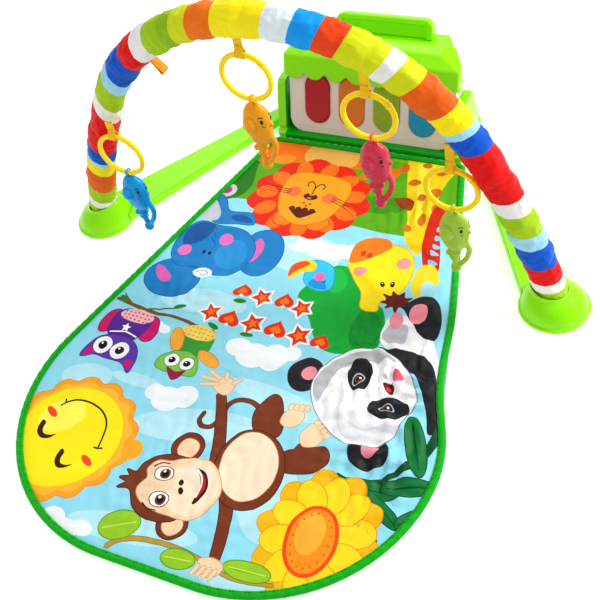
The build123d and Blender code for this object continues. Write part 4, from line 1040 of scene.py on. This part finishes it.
def make_mat():
    """The padded cloth: its print follows the triangulated artwork, and its surface the folds."""
    edge = mat_outline(6.0, 6.0)
    ring = mat_outline(9.0, 6.0)
    grid_x, grid_y = np.meshgrid(np.arange(-305, 306, 5.5), np.arange(-470, 320, 5.5))
    grid = np.stack([grid_x.ravel() + 2.0 * np.sin(grid_y.ravel() * 0.7), grid_y.ravel()], 1)
    grid = grid[in_outline(grid, ring)]
    vertices = [Vector(p) for p in edge]
    faces_in = [list(range(len(edge)))]
    for _, outline in art:
        start = len(vertices)
        cleaned = []
        for p in outline:
            if not cleaned or math.hypot(p[0] - cleaned[-1][0], p[1] - cleaned[-1][1]) > 0.25:
                cleaned.append(p)
        turn = sum(p[0] * q[1] - q[0] * p[1] for p, q in zip(cleaned, cleaned[1:] + cleaned[:1]))
        vertices += [Vector(p) for p in (cleaned if turn > 0 else reversed(cleaned))]
        faces_in.append(list(range(start, len(vertices))))
    start = len(vertices)
    vertices += [Vector(p) for p in grid]
    made = delaunay_2d_cdt(vertices, [], faces_in, 0, 0.05, True)
    flat, triangles, owners = np.array([tuple(v) for v in made[0]]), made[2], made[5]
    keep, tops = [], []
    for face, owner in zip(triangles, owners):
        if 0 in owner:
            keep.append(tuple(face))
            tops.append(max(owner))
    used = sorted({i for f in keep for i in f})
    index = {old: new for new, old in enumerate(used)}
    flat = flat[used]
    keep = [tuple(index[i] for i in f) for f in keep]
    away = inside_distance(flat, edge)
    pad = 1.8 + 4.4 * (1 - np.exp(-away / 9.0))
    lift = np.clip(away / 26.0, 0, 1)
    top = np.maximum(pad + mat_rise(flat[:, 0], flat[:, 1]) * lift, 1.2)
    points = [(pulled(x, y) * MM, y * MM, z * MM) for (x, y), z in zip(flat, top)]
    obj = piece("mat_cloth", points, keep, PRINT, "gym", ("mat_pad",), "print_fabric")
    mesh = obj.data
    paint = mesh.color_attributes.new("print", "FLOAT_COLOR", "CORNER")
    tones = [linear((152, 222, 240))] + [linear(c) for c, _ in art]
    colours = np.zeros((len(mesh.loops), 4), np.float32)
    for polygon in mesh.polygons:
        colours[polygon.loop_start : polygon.loop_start + polygon.loop_total] = tones[tops[polygon.index]]
    paint.data.foreach_set("color", colours.ravel())
    near = 0.5  # mm to each side over which the slope is taken
    x, y = flat[:, 0], flat[:, 1]
    slope_x = (mat_rise(x + near, y) - mat_rise(x - near, y)) / (2 * near) * lift
    slope_y = (mat_rise(x, y + near) - mat_rise(x, y - near)) / (2 * near) * lift
    normals = np.stack([-slope_x, -slope_y, np.ones_like(x)], 1)
    normals /= np.linalg.norm(normals, axis=1)[:, None]
    plain = np.zeros(len(points) * 3, np.float32)
    mesh.vertices.foreach_get("normal", plain)
    plain = plain.reshape(-1, 3)
    share = np.clip((away - 8) / 12, 0, 1)[:, None]
    mixed = plain * (1 - share) + normals * share
    mixed /= np.linalg.norm(mixed, axis=1)[:, None]
    mesh.normals_split_custom_set_from_vertices([tuple(n) for n in mixed])
    return obj


def make_backing():
    """The plain cloth under the mat."""
    edge = mat_outline(5.0, 6.0)
    grid_x, grid_y = np.meshgrid(np.arange(-300, 301, 15.0), np.arange(-465, 320, 15.0))
    grid = np.stack([grid_x.ravel(), grid_y.ravel()], 1)
    grid = grid[in_outline(grid, mat_outline(12.0, 6.0))]
    vertices = [Vector(p) for p in edge] + [Vector(p) for p in grid]
    made = delaunay_2d_cdt(vertices, [], [list(range(len(edge)))], 1, 0.05, False)
    points = [
        (pulled(v[0], v[1]) * MM, v[1] * MM, (0.5 + 0.25 * noise.noise(Vector((v[0] * 0.03, v[1] * 0.03, 0)))) * MM)
        for v in made[0]
    ]
    faces = [tuple(reversed(f)) for f in made[2]]
    piece("mat_backing", points, faces, BACKING, "gym", (), "print_fabric")


def make_binding():
    """Folded tape round the mat's edge, a little puckered, with its stitches."""
    path = mat_outline(0.0, 3.0)
    pts = np.array([(pulled(x, y), y + (1.7 if y > NECK_Y - 0.5 else 0.0)) for x, y in path])
    count = len(pts)
    ahead = np.roll(pts, -1, 0) - np.roll(pts, 1, 0)
    ahead /= np.linalg.norm(ahead, axis=1)[:, None]
    out = np.stack([ahead[:, 1], -ahead[:, 0]], 1)
    run = np.concatenate([[0], np.cumsum(np.linalg.norm(np.diff(pts, axis=0), axis=1))])
    profile = [(-10.2, 5.0), (-9.6, 5.9), (-7.4, 6.7), (-5.0, 7.1), (-2.6, 6.6), (-0.9, 5.4), (-0.1, 3.6), (-0.3, 1.8),
               (-1.4, 0.6), (-4.0, 0.15), (-8.0, 0.1), (-10.0, 0.3)]
    points, faces, marks = [], [], []
    for i in range(count):
        pucker = 0.5 * math.sin(run[i] * 0.42 + 2 * math.sin(run[i] * 0.05))
        ripple = pucker + 0.35 * noise.noise(Vector((run[i] * 0.09, 0, 0)))
        for k, (reach, tall) in enumerate(profile):
            swell = ripple * (1.0 if 1 <= k <= 5 else 0.25)
            reach_now = reach + (0.5 * ripple if k < 2 else 0)
            x, y = pts[i] + out[i] * reach_now
            points.append((x * MM, y * MM, max(tall + swell, 0.05) * MM))
            marks.append((run[i] * MM, k * 1.6 * MM))
    n = len(profile)
    for i in range(count):
        j = (i + 1) % count
        for k in range(n):
            m = (k + 1) % n
            faces.append((i * n + k, j * n + k, j * n + m, i * n + m))
    obj = piece("mat_edge", points, faces, BINDING, "gym", ("mat_binding",), "green_binding")
    layer = obj.data.uv_layers.new(name="run")
    for loop in obj.data.loops:
        layer.data[loop.index].uv = marks[loop.vertex_index]
    stitches = []
    at, spot = 0.0, 0
    while at < run[-1] - 4:
        while run[spot + 1] < at:
            spot += 1
        t = (at - run[spot]) / max(run[spot + 1] - run[spot], 1e-6)
        base = pts[spot] * (1 - t) + pts[(spot + 1) % count] * t
        way, side = ahead[spot], out[spot]
        middle = base - side * 7.9
        line_up = []
        for d, z in ((-1.7, 6.1), (-0.9, 6.85), (0.9, 6.85), (1.7, 6.1)):
            q = middle + way * d
            line_up.append((q[0] * MM, q[1] * MM, z * MM))
        stitches.append(tube(line_up, 0.38 * MM, 6))
        at += 5.0
    piece("mat_stitches", *merged(stitches), THREAD, "gym", (), "green_binding")


make_mat()
make_backing()
make_binding()

# ---- arch sleeve ---------------------------------------------------------------------------
# in mm: radius and height of the crown's arc, radius of each leg's arc, the arch's plane, half the span at the mouths
CROWN_R, CROWN_Z, LEG_R, ARCH_Y, MOUTH = 306.56, 113.44, 1029.12, 67.0, 362.0
LEAN = math.radians(30)
LEG_X, LEG_Z = (LEG_R - CROWN_R) * math.cos(LEAN), CROWN_Z - (LEG_R - CROWN_R) * math.sin(LEAN)
FOOT = math.acos((MOUTH + LEG_X) / LEG_R)
LEG_RUN = LEG_R * (LEAN - FOOT)
CROWN_RUN = CROWN_R * (math.pi - 2 * LEAN)
ARCH_RUN = 2 * LEG_RUN + CROWN_RUN


def arch_at(s):
    """Centre (x, z) of the arch in mm and its outward way, s mm along from the left mouth."""
    if s < LEG_RUN:
        angle = FOOT + s / LEG_R
        return (LEG_X - LEG_R * math.cos(angle), LEG_Z + LEG_R * math.sin(angle)), (-math.cos(angle), math.sin(angle))
    if s > LEG_RUN + CROWN_RUN:
        (x, z), (nx, nz) = arch_at(ARCH_RUN - s)
        return (-x, z), (-nx, nz)
    angle = math.pi - LEAN - (s - LEG_RUN) / CROWN_R
    return (CROWN_R * math.cos(angle), CROWN_Z + CROWN_R * math.sin(angle)), (math.cos(angle), math.sin(angle))


S_RED, S_BLUE, S_PALE, S_SKY = (228, 14, 10), (8, 92, 200), (164, 216, 238), (20, 160, 240)
S_YELLOW, S_WHITE, S_LIME, S_ORANGE = (250, 232, 20), (240, 238, 235), (168, 205, 24), (232, 104, 22)
S_LEMON, S_FLAME, S_MIST = (214, 222, 20), (236, 76, 24), (226, 238, 240)
# where each stripe ends along the arch, how far its seam slants, its colour and its puckering
STRIPES = [
    (9, 3, S_LIME, 0.3), (23, 4, S_WHITE, 0.3), (50, 5, S_LIME, 0.3), (90, 6, S_ORANGE, 0.3), (112, 5, S_YELLOW, 0.3),
    (119, 5, S_PALE, 0.3), (143, 6, S_BLUE, 0.3), (223, 14, S_RED, 0.5), (247, 12, S_WHITE, 0.3),
    (284, 10, S_LIME, 0.3), (305, 7, S_PALE, 0.3), (347, 3, S_BLUE, 0.3), (375, 5, S_RED, 0.4), (402, 5, S_WHITE, 0.7),
    (432, 4, S_LIME, 1.0), (452, 4, (150, 190, 20), 1.0), (478, 4, S_LEMON, 1.0), (515, 3, (240, 122, 22), 0.8),
    (582, 3, S_YELLOW, 0.3), (617, 4, S_MIST, 0.3), (649, 4, S_SKY, 0.3), (679, 5, S_FLAME, 0.3),
    (728, 5, S_LEMON, 0.4), (746, 6, S_WHITE, 0.4), (773, 6, S_LEMON, 0.4), (820, 6, S_ORANGE, 0.5),
    (848, 6, S_YELLOW, 0.9), (858, 6, S_PALE, 1.0), (884, 7, S_BLUE, 1.0), (964, 8, S_RED, 1.0), (988, 8, S_WHITE, 0.6),
    (1023, 8, S_LIME, 0.3), (1046, 7, S_PALE, 0.3), (1082, 7, S_BLUE, 0.4), (1110, 6, S_RED, 0.3),
    (1126, 5, S_WHITE, 0.3), (1156, 3, S_LIME, 0.3),
]


def make_sleeve():
    """The stuffed sleeve: a sewn tube of stripes, blown up and wrinkled by the cloth solver."""
    around = 56
    rings = []
    s0, a0 = -22.0, 3.0
    for band, (s1, a1, _, pucker) in enumerate(STRIPES):
        steps = max(2, round((s1 - s0) / 4.6))
        for k in range(steps):
            t = k / steps
            rings.append((s0 + (s1 - s0) * t, a0 + (a1 - a0) * t, t, band, pucker))
        s0, a0 = s1, a1
    rings.append((s0, a0, 1.0, len(STRIPES) - 1, 0.3))
    points, marks, loose = [], [], []
    for i, (s, slant, t, band, pucker) in enumerate(rings):
        for k in range(around):
            angle = 2 * math.pi * k / around
            run = s + slant * math.cos(angle)
            (x, z), (nx, nz) = arch_at(run)
            jitter = noise.noise(Vector((run * 0.045, math.cos(angle) * 2.1, math.sin(angle) * 2.1)))
            fold = math.sin(run * 0.62 + 2.2 * math.sin(angle * 2 + band)) * pucker
            radius = 21.4 + 1.1 * math.sin(math.pi * t) + 0.7 * jitter + 0.7 * fold * math.sin(math.pi * t)
            out, side = radius * math.cos(angle), radius * math.sin(angle)
            points.append(((x + nx * out) * MM, (ARCH_Y + side) * MM, (z + nz * out) * MM))
            marks.append((run * MM, angle * 22 * MM))
            loose.append(0.0 if i in (0, len(rings) - 1) else min(1.0, 3.2 * min(t, 1 - t) + 0.12))
    faces, tones = [], []
    for i in range(len(rings) - 1):
        for k in range(around):
            m = (k + 1) % around
            faces.append((i * around + k, (i + 1) * around + k, (i + 1) * around + m, i * around + m))
            tones.append(rings[i][3])
    faces.append(tuple(range(around)))
    faces.append(tuple((len(rings) - 1) * around + k for k in reversed(range(around))))
    tones += [0, len(STRIPES) - 1]
    obj = piece("sleeve", points, faces, KNIT, "gym", ("arch_sleeve",), "striped_fabric")
    mesh = obj.data
    paint = mesh.color_attributes.new("stripes", "FLOAT_COLOR", "CORNER")
    layer = mesh.uv_layers.new(name="run")
    shades = [linear(c) for _, _, c, _ in STRIPES]
    for polygon in mesh.polygons:
        closing = any(v % around == 0 for v in polygon.vertices) and any(v % around > 1 for v in polygon.vertices)
        for loop in polygon.loop_indices:
            vertex = mesh.loops[loop].vertex_index
            u, v = marks[vertex]
            layer.data[loop].uv = (u, v + 2 * math.pi * 22 * MM) if closing and vertex % around == 0 else (u, v)
            paint.data[loop].color = shades[tones[polygon.index]]
    pins = obj.vertex_groups.new(name="pins")
    for i, free in enumerate(loose):
        pins.add([i], 1.0 - 0.94 * free, "REPLACE")
    solver = obj.modifiers.new("cloth", "CLOTH")
    ways = solver.settings
    ways.quality = 6
    ways.mass = 0.12
    ways.tension_stiffness = 18
    ways.compression_stiffness = 18
    ways.shear_stiffness = 6
    ways.bending_stiffness = 0.12
    ways.vertex_group_mass = "pins"
    ways.pin_stiffness = 0.5
    ways.shrink_min = -0.07
    ways.use_pressure = True
    ways.uniform_pressure_force = 3.0
    ways.effector_weights.gravity = 0.0
    solver.collision_settings.use_collision = False
    scene = bpy.context.scene
    for frame_number in range(1, 21):
        scene.frame_set(frame_number)
    graph = bpy.context.evaluated_depsgraph_get()
    blown = obj.evaluated_get(graph).to_mesh()
    start = np.array(points)
    there = np.array([tuple(v.co) for v in blown.vertices])
    obj.evaluated_get(graph).to_mesh_clear()
    obj.modifiers.clear()
    scene.frame_set(1)
    move = there - start
    size = np.linalg.norm(move, axis=1)
    size[~np.isfinite(size)] = 1e9
    move[~np.isfinite(move)] = 0
    shown = start + move * np.minimum(1, 2.0 * MM / np.maximum(size, 1e-9))[:, None]
    mesh.vertices.foreach_set("co", shown.ravel())
    divided = obj.modifiers.new("divide", "SUBSURF")
    divided.levels = 1
    divided.render_levels = 1
    divided.uv_smooth = "NONE"
    apply_modifiers(obj)


make_sleeve()


# ---- straps, rings and toys ----------------------------------------------------------------
HOOP_RADIUS = 34.5  # mm, to the middle of the wire
WIRE, SNAP, SNAP_CUT = 3.8, 4.6, 3.3  # mm, radius of the wire, of its snap and of the cut where the snap opens
STRAP_TURN = 5.3  # mm, radius of a strap's turn under the wire
EYELET_RADIUS, EYELET_WIRE = 5.75, 1.45  # mm
HEAD_DROP, FOOT_DROP = 37.9, 112.0  # mm from where a rattle hangs down to the middles of its head and foot


def ribbon(path, wide_way, wide, thick):
    """Points and faces of a flat strap along a path in mm."""
    path = [Vector(p) for p in path]
    points, faces = [], []
    ends = [(0.5, 0.2), (0.47, 0.5), (0.25, 0.55), (0, 0.5), (-0.25, 0.55), (-0.47, 0.5), (-0.5, 0.2), (-0.5, -0.2),
            (-0.47, -0.5), (0, -0.5), (0.47, -0.5), (0.5, -0.2)]
    for i, p in enumerate(path):
        along = (path[min(i + 1, len(path) - 1)] - path[max(i - 1, 0)]).normalized()
        over = wide_way.cross(along).normalized()
        points += [(p + wide_way * (wide * u) + over * (thick * v)) * MM for u, v in ends]
    n = len(ends)
    for i in range(len(path) - 1):
        for k in range(n):
            m = (k + 1) % n
            faces.append((i * n + k, i * n + m, (i + 1) * n + m, (i + 1) * n + k))
    faces.append(tuple(range(n)))
    faces.append(tuple((len(path) - 1) * n + k for k in reversed(range(n))))
    return points, faces


def make_loop(number):
    """The webbing that hangs a ring from the sleeve, with its rows of stitches."""
    low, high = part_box(f"ring_{number}")
    x, y = (low.x + high.x) / 2 / MM, (low.y + high.y) / 2 / MM
    z = (low.z + high.z) / 2 / MM + HOOP_RADIUS
    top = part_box(f"ring_loop_{number}")[1].z / MM + (0.0 if number == 1 else 1.5)
    down = [(x, y + 0.75, z + (top - z) * t) for t in (1.0, 0.8, 0.6)]
    down += [(x, y + 0.85, z + 10.5), (x, y + 3.6, z + 5.0)]
    under = [
        (x, y + STRAP_TURN * math.cos(a), z + STRAP_TURN * math.sin(a))
        for a in np.radians([0, -30, -60, -90, -120, -150, -180])
    ]
    up = [(px, 2 * y - py, pz) for px, py, pz in reversed(down)]
    path = curve_through(down + under + up, 5)
    piece(
        f"loop_{number}", *ribbon(path, Vector((1, 0, 0)), 12.0, 1.15), TAPE, "gym", (f"ring_loop_{number}",),
        "yellow_webbing",
    )
    rows = []
    for rise in (12.0, 14.5):
        for face in (-1, 1):
            for k in range(5):
                at = x - 4.4 + k * 2.2
                row = [(at - 0.75, 0.0), (at, 0.28), (at + 0.75, 0.0)]
                thread = [(px * MM, (y + face * (1.45 + d)) * MM, (z + rise) * MM) for px, d in row]
                rows.append(tube(thread, 0.2 * MM, 5))
    piece(f"loop_{number}_stitches", *merged(rows), TAPE_ORANGE, "gym", (), "yellow_webbing")


def make_spare_loop():
    """The folded tab that carries no ring."""
    angle = math.radians(126)
    out = Vector((math.cos(angle), 0, math.sin(angle)))
    across = Vector((out.z, 0, -out.x))
    centre = Vector((0, ARCH_Y, CROWN_Z))
    fold = [(285.5, 0.7), (280, 0.7), (274, 0.9), (268, 1.7), (263.5, 1.9), (261.4, 0.0), (263.5, -1.9), (268, -1.7),
            (274, -0.9), (280, -0.7), (285.5, -0.7)]
    path = curve_through([centre + out * r + across * d for r, d in fold], 4)
    piece("tab", *ribbon(path, Vector((0, 1, 0)), 14.5, 1.0), TAPE_ORANGE, "gym", ("spare_loop",), "orange_webbing")


def ellipsoid(centre, radii, rings=20, around=32, turn=None):
    """Points and faces of an ellipsoid, sizes in mm."""
    points, faces = [], []
    for i in range(1, rings):
        tilt = math.pi * i / rings
        for k in range(around):
            angle = 2 * math.pi * k / around
            unit = Vector((math.sin(tilt) * math.cos(angle), math.sin(tilt) * math.sin(angle), math.cos(tilt)))
            spot = Vector((unit.x * radii[0], unit.y * radii[1], unit.z * radii[2]))
            points.append((Vector(centre) + (turn @ spot if turn else spot)) * MM)
    for i in range(rings - 2):
        for k in range(around):
            m = (k + 1) % around
            faces.append((i * around + k, (i + 1) * around + k, (i + 1) * around + m, i * around + m))
    north, south = Vector((0, 0, radii[2])), Vector((0, 0, -radii[2]))
    points.append((Vector(centre) + (turn @ north if turn else north)) * MM)
    points.append((Vector(centre) + (turn @ south if turn else south)) * MM)
    last = (rings - 2) * around
    for k in range(around):
        m = (k + 1) % around
        faces.append((len(points) - 2, k, m))
        faces.append((len(points) - 1, last + m, last + k))
    return points, faces


def rod(path, radii, sides=20):
    """A tube given in mm."""
    radii = [r * MM for r in radii] if hasattr(radii, "__len__") else radii * MM
    return tube([Vector(p) * MM for p in path], radii, sides)


def fused(name, shapes, material, body, voxel, rounds, stands_for=()):
    """Overlapping shapes melted into one moulded skin."""
    obj = piece(name, *merged(shapes), None, body)
    remesh = obj.modifiers.new("remesh", "REMESH")
    remesh.mode = "VOXEL"
    remesh.voxel_size = voxel * MM
    relax = obj.modifiers.new("relax", "SMOOTH")
    relax.iterations = rounds
    relax.factor = 0.5
    apply_modifiers(obj)
    obj.data.materials.clear()
    obj.data.materials.append(material)
    obj.data.shade_smooth()
    if stands_for:
        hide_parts(*stands_for)
    return obj


def make_ring(number):
    """A hoop of round wire with its snap, thicker where it opens."""
    low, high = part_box(f"ring_{number}")
    middle = (low + high) / 2
    path, radii = [], []
    for i in range(160):
        angle = 2 * math.pi * i / 160
        path.append(middle + Vector((math.cos(angle), 0, math.sin(angle))) * HOOP_RADIUS * MM)
        off = math.degrees(angle) - 40
        thick = WIRE
        if abs(off) < 8.5:
            thick = SNAP - 0.6 * max(0.0, abs(off) - 6.5) / 2
        if abs(off) < 0.8:
            thick = SNAP_CUT
        radii.append(thick * MM)
    piece(
        f"hoop_{number}", *tube(path, radii, 28, True, 1.0, Vector((0, 1, 0))), YELLOW, f"ring_{number}",
        (f"ring_{number}",), "yellow_plastic",
    )


def make_toy(number, material, finish):
    """A rattle: egg head with round ears, a collar, a tail, a ball foot and one slanting limb."""
    low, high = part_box(f"ring_{number}")
    hook = (low + high) / 2 / MM - Vector((0, 0, HOOP_RADIUS))
    head = hook - Vector((0, 0, HEAD_DROP))
    foot = hook - Vector((0, 0, FOOT_DROP))
    eyelet = [
        (hook + Vector((0, EYELET_RADIUS * math.cos(a), EYELET_RADIUS * math.sin(a)))) * MM
        for a in np.linspace(0, 2 * math.pi, 49)[:-1]
    ]
    limb = [head + Vector((13.5, 0, -16)), head + Vector((19.6, 0, -34)), head + Vector((14.6, 0, -54)), foot]
    shapes = [
        ellipsoid(head - Vector((0, 0, 3.5)), (20.6, 12.6, 36.5), 28, 44),
        ellipsoid(head + Vector((1.5, 0, 8)), (19.5, 12.8, 22.0), 24, 40),
        tube(eyelet, EYELET_WIRE * MM, 14, True, 1.0, Vector((1, 0, 0))),
        rod([hook - Vector((0, 0, 6.6)), head + Vector((0, 0, 24))], [3.2, 7.0]),
        ellipsoid(hook - Vector((1, 0, 80)), (9.5, 8.6, 4.8)), ellipsoid(hook - Vector((2, 0, 90)), (7.4, 6.8, 4.2)),
        ellipsoid(hook - Vector((8, -4, 80)), (4.6, 4.2, 4.4)), ellipsoid(hook - Vector((8, 4, 80)), (4.6, 4.2, 4.4)),
        rod([hook - Vector((1, 0, 72)), hook - Vector((2, 0, 92)), foot], [6.4, 5.0, 3.8]),
        ellipsoid(foot, (7.9, 7.4, 7.9)),
        rod(curve_through(limb, 6), 4.1),
        ellipsoid(head + Vector((21.5, 0, 0)), (2.6, 3.2, 2.6)),
    ]
    halves = (f"toy_{number}_front", f"toy_{number}_back")
    fused(f"rattle_{number}", shapes, material, f"toy_{number}", 0.85, 4, halves)
    ears = []
    for side in (-1, 1):
        ears.append(ellipsoid(head + Vector((-5, side * 14.2, 4)), (8.4, 5.4, 10.8), 20, 36))
        ears.append(ellipsoid(head + Vector((-5, side * 11.4, 4)), (10.0, 4.2, 12.6), 20, 36))
    piece(f"rattle_{number}_ears", *merged(ears), material, f"toy_{number}", (), finish)
    marks = []

    def on_head(turn, tilt, proud=0.1):
        """A point on the head, or standing proud of it, at angles round it and up from its middle."""
        turn -= math.radians(22)
        way = Vector((math.cos(turn) * math.cos(tilt), math.sin(turn) * math.cos(tilt), math.sin(tilt)))
        reach = Vector((way.x * (19.5 + proud), way.y * (12.8 + proud), way.z * (22 + proud)))
        return head + Vector((1.5, 0, 8)) + reach

    for side in (-1, 1):
        spot = on_head(side * math.radians(32), math.radians(2), -0.25)
        facing = Matrix.Rotation(side * math.radians(42) - math.radians(26), 3, "Z")
        marks.append(ellipsoid(spot, (0.9, 2.2, 3.5), 12, 18, facing))
        brow = [on_head(side * math.radians(a), math.radians(b), 0.1) for a, b in ((22, 17), (32, 21), (43, 18))]
        marks.append(rod(curve_through(brow, 5), 0.55, 8))
    lips = ((-34, -17), (-18, -24), (0, -26), (18, -24), (34, -17))
    smile = [on_head(math.radians(a), math.radians(b), 0.1) for a, b in lips]
    marks.append(rod(curve_through(smile, 6), 0.7, 8))
    piece(f"rattle_{number}_face", *merged(marks), INK, f"toy_{number}", (), finish)


for number in (1, 2, 3, 4):
    make_loop(number)
    make_ring(number)
make_spare_loop()
make_toy(1, TOY_BLUE, "blue_toy")
make_toy(2, TOY_GOLD, "gold_toy")
make_toy(3, TOY_PINK, "pink_toy")
make_toy(4, TOY_LIME, "lime_toy")


# ---- piano, roof, handle, stand and feet ---------------------------------------------------
PANEL_FOOT = Vector((0, 336.0, 32.0))
PANEL_UP = Vector((0, math.cos(math.radians(70)), math.sin(math.radians(70))))
PANEL_OUT = Vector((0, -PANEL_UP.z, PANEL_UP.y))


def on_panel(x, v, proud):
    """A point in mm on the sloping key panel."""
    return PANEL_FOOT + Vector((x, 0, 0)) + PANEL_UP * v + PANEL_OUT * proud


def paint_faces(obj, material, chosen):
    """Gives the faces that chosen(middle, normal) picks a second material, in mm."""
    obj.data.materials.append(material)
    for polygon in obj.data.polygons:
        if chosen(polygon.center / MM, polygon.normal):
            polygon.material_index = len(obj.data.materials) - 1


def make_panel_trim():
    """A thin bead round every key opening and one under the keys."""
    beads = []
    for x in (-91.5, -30.5, 30.5, 91.5):
        path = []
        for turn in range(48):
            angle = 2 * math.pi * turn / 48
            v = 42 + (19.5 if math.sin(angle) >= 0 else -19.5) + 23.6 * math.sin(angle)
            path.append(on_panel(x + 23.6 * math.cos(angle), v, 0.05) * MM)
        beads.append(tube(path, 0.75 * MM, 8, True))
    piece("key_beads", *merged(beads), WHITE, "piano", (), "white_plastic")
    ledge = rod([on_panel(x, -7.0 - 1.2 * abs(x / 128) ** 8, 0.0) for x in np.linspace(-128, 128, 41)], 0.8, 8)
    piece("panel_ledge", *ledge, WHITE, "piano", (), "white_plastic")


def make_tabs():
    """Two cloth tabs that run from the mat under the piano."""
    shapes = []
    low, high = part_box("mat_tabs")
    half = 13.0
    for number, x in enumerate((low.x / MM + half, high.x / MM - half)):
        path = []
        for i in range(19):
            y = high.y / MM - (high.y / MM - low.y / MM + 7.0) * i / 18
            path.append((x, y, 5.9 + 0.25 * math.sin(i * 0.9 + number)))
        shapes.append(ribbon(path, Vector((1, 0, 0)), 2 * half, 1.1))
    piece("tabs", *merged(shapes), BINDING_PLAIN, "gym", ("mat_tabs",), "green_binding")


def make_foot(side, node):
    """A bell-shaped foot with a thin lip, a rolled collar and the socket that takes the arch."""
    low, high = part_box(node)
    x0, y0 = (low.x + high.x) / 2 / MM, (low.y + high.y) / 2 / MM
    outer = [(47.6, 3.4), (48.6, 4.4), (48.6, 5.6), (47.8, 6.6), (46.4, 7.2), (45.4, 9.0), (43.9, 14.0), (41.0, 20.5),
             (37.2, 27.0), (33.0, 32.6), (29.6, 36.6), (27.6, 39.8), (27.0, 42.0), (26.2, 43.4), (25.2, 43.6),
             (24.6, 42.6)]
    inner = [(24.4, 40.0), (24.4, 24.0), (24.4, 10.0), (12.0, 6.0), (12.0, 3.6), (46.0, 3.2)]
    profile = curve_through(outer, 3) + inner
    around, points, faces = 96, [], []
    (mouth_x, mouth_z), _ = arch_at(0.0 if side < 0 else ARCH_RUN)
    for k in range(around):
        angle = 2 * math.pi * k / around
        for r, z in profile:
            shift = np.clip((z - 6) / 34, 0, 1) ** 1.3 * (mouth_x - x0 - 0.6 * side)
            tip = np.clip((z - 22) / 22, 0, 1) * 0.20 * side * min(r, 27) * math.cos(angle)
            points.append(((x0 + shift + r * math.cos(angle)) * MM, (y0 + r * math.sin(angle)) * MM, (z - tip) * MM))
    n = len(profile)
    for k in range(around):
        m = (k + 1) % around
        for i in range(n):
            j = (i + 1) % n
            faces.append((k * n + i, m * n + i, m * n + j, k * n + j))
    piece(f"{node}_moulded", points, faces, LIME, "gym", (node,), "lime_plastic")
    lip = [((x0 + 48.2 * math.cos(a)) * MM, (y0 + 48.2 * math.sin(a)) * MM, 3.2 * MM)
           for a in np.linspace(0, 2 * math.pi, 97)[:-1]]
    piece(f"{node}_lip", *tube(lip, 1.0 * MM, 8, True), PALE_LIME, "gym", (), "lime_plastic")


PALE_LIME = plastic("lime_edge", (196, 240, 110), 0.35, 0.04, 0.10, 0.10)
BINDING_PLAIN = cloth("green_tabs", (6, 168, 22), threads=420.0, depth=0.5, creases=0.15, rough=0.55)
make_tabs()

stand = soften("stand_moulded", ("stand",), LIME, "gym", 1.35, 7)
# Painted shade: the tray floor between the uprights and the uprights' inward faces take the dark green.
paint_faces(stand, SHADE_GREEN, lambda at, way: abs(at.x) < 148.6 or (at.z > 10 and abs(way.x) > 0.6 and way.x * at.x < 0))
soften("left_arm_moulded", ("left_arm",), LIME, "gym", 1.3, 5)
soften("right_arm_moulded", ("right_arm",), LIME, "gym", 1.3, 5)
make_foot(-1, "left_dome")
make_foot(1, "right_dome")
soften("roof_moulded", ("awning_roof",), LIME, "piano", 1.4, 30)
soften("handle_moulded", ("carry_handle",), LIME, "piano", 1.1, 34)
soften("front_shell_moulded", ("front_shell",), WHITE, "piano", 1.2, 5)
soften("back_shell_moulded", ("back_shell",), WHITE, "piano", 1.3, 4)
make_panel_trim()
for colour, material in (("red", RED), ("orange", ORANGE), ("green", OLIVE), ("blue", BLUE)):
    soften(f"{colour}_key_moulded", (f"{colour}_key",), material, f"{colour}_key", 0.75, 8)

# stand_plate takes the dark green of painted shade.
DRESS = {
    "stand_plate": SHADE_GREEN, "stand_feet": RUBBER, "left_dome_pads": RUBBER, "right_dome_pads": RUBBER,
    "stand_screws": STEEL, "left_dome_screws": STEEL, "right_dome_screws": STEEL, "case_screws": STEEL,
    "board_screws": STEEL, "door_screw": STEEL, "left_arch_tube": TUBE, "right_arch_tube": TUBE,
    "crown_arch_tube": TUBE, "toy_1_beads": WHITE, "toy_2_beads": WHITE, "toy_3_beads": WHITE, "toy_4_beads": WHITE,
    "battery_door": WHITE, "battery_tray": WHITE, "key_membrane": SILICONE, "circuit_board": BOARD, "speaker": BLACK,
    "switch_knob": BLACK, "switch_body": BLACK, "battery_cells": BLACK, "battery_contacts": BRASS,
}
for node, material in DRESS.items():
    NODES[node].data.materials.clear()
    NODES[node].data.materials.append(material)
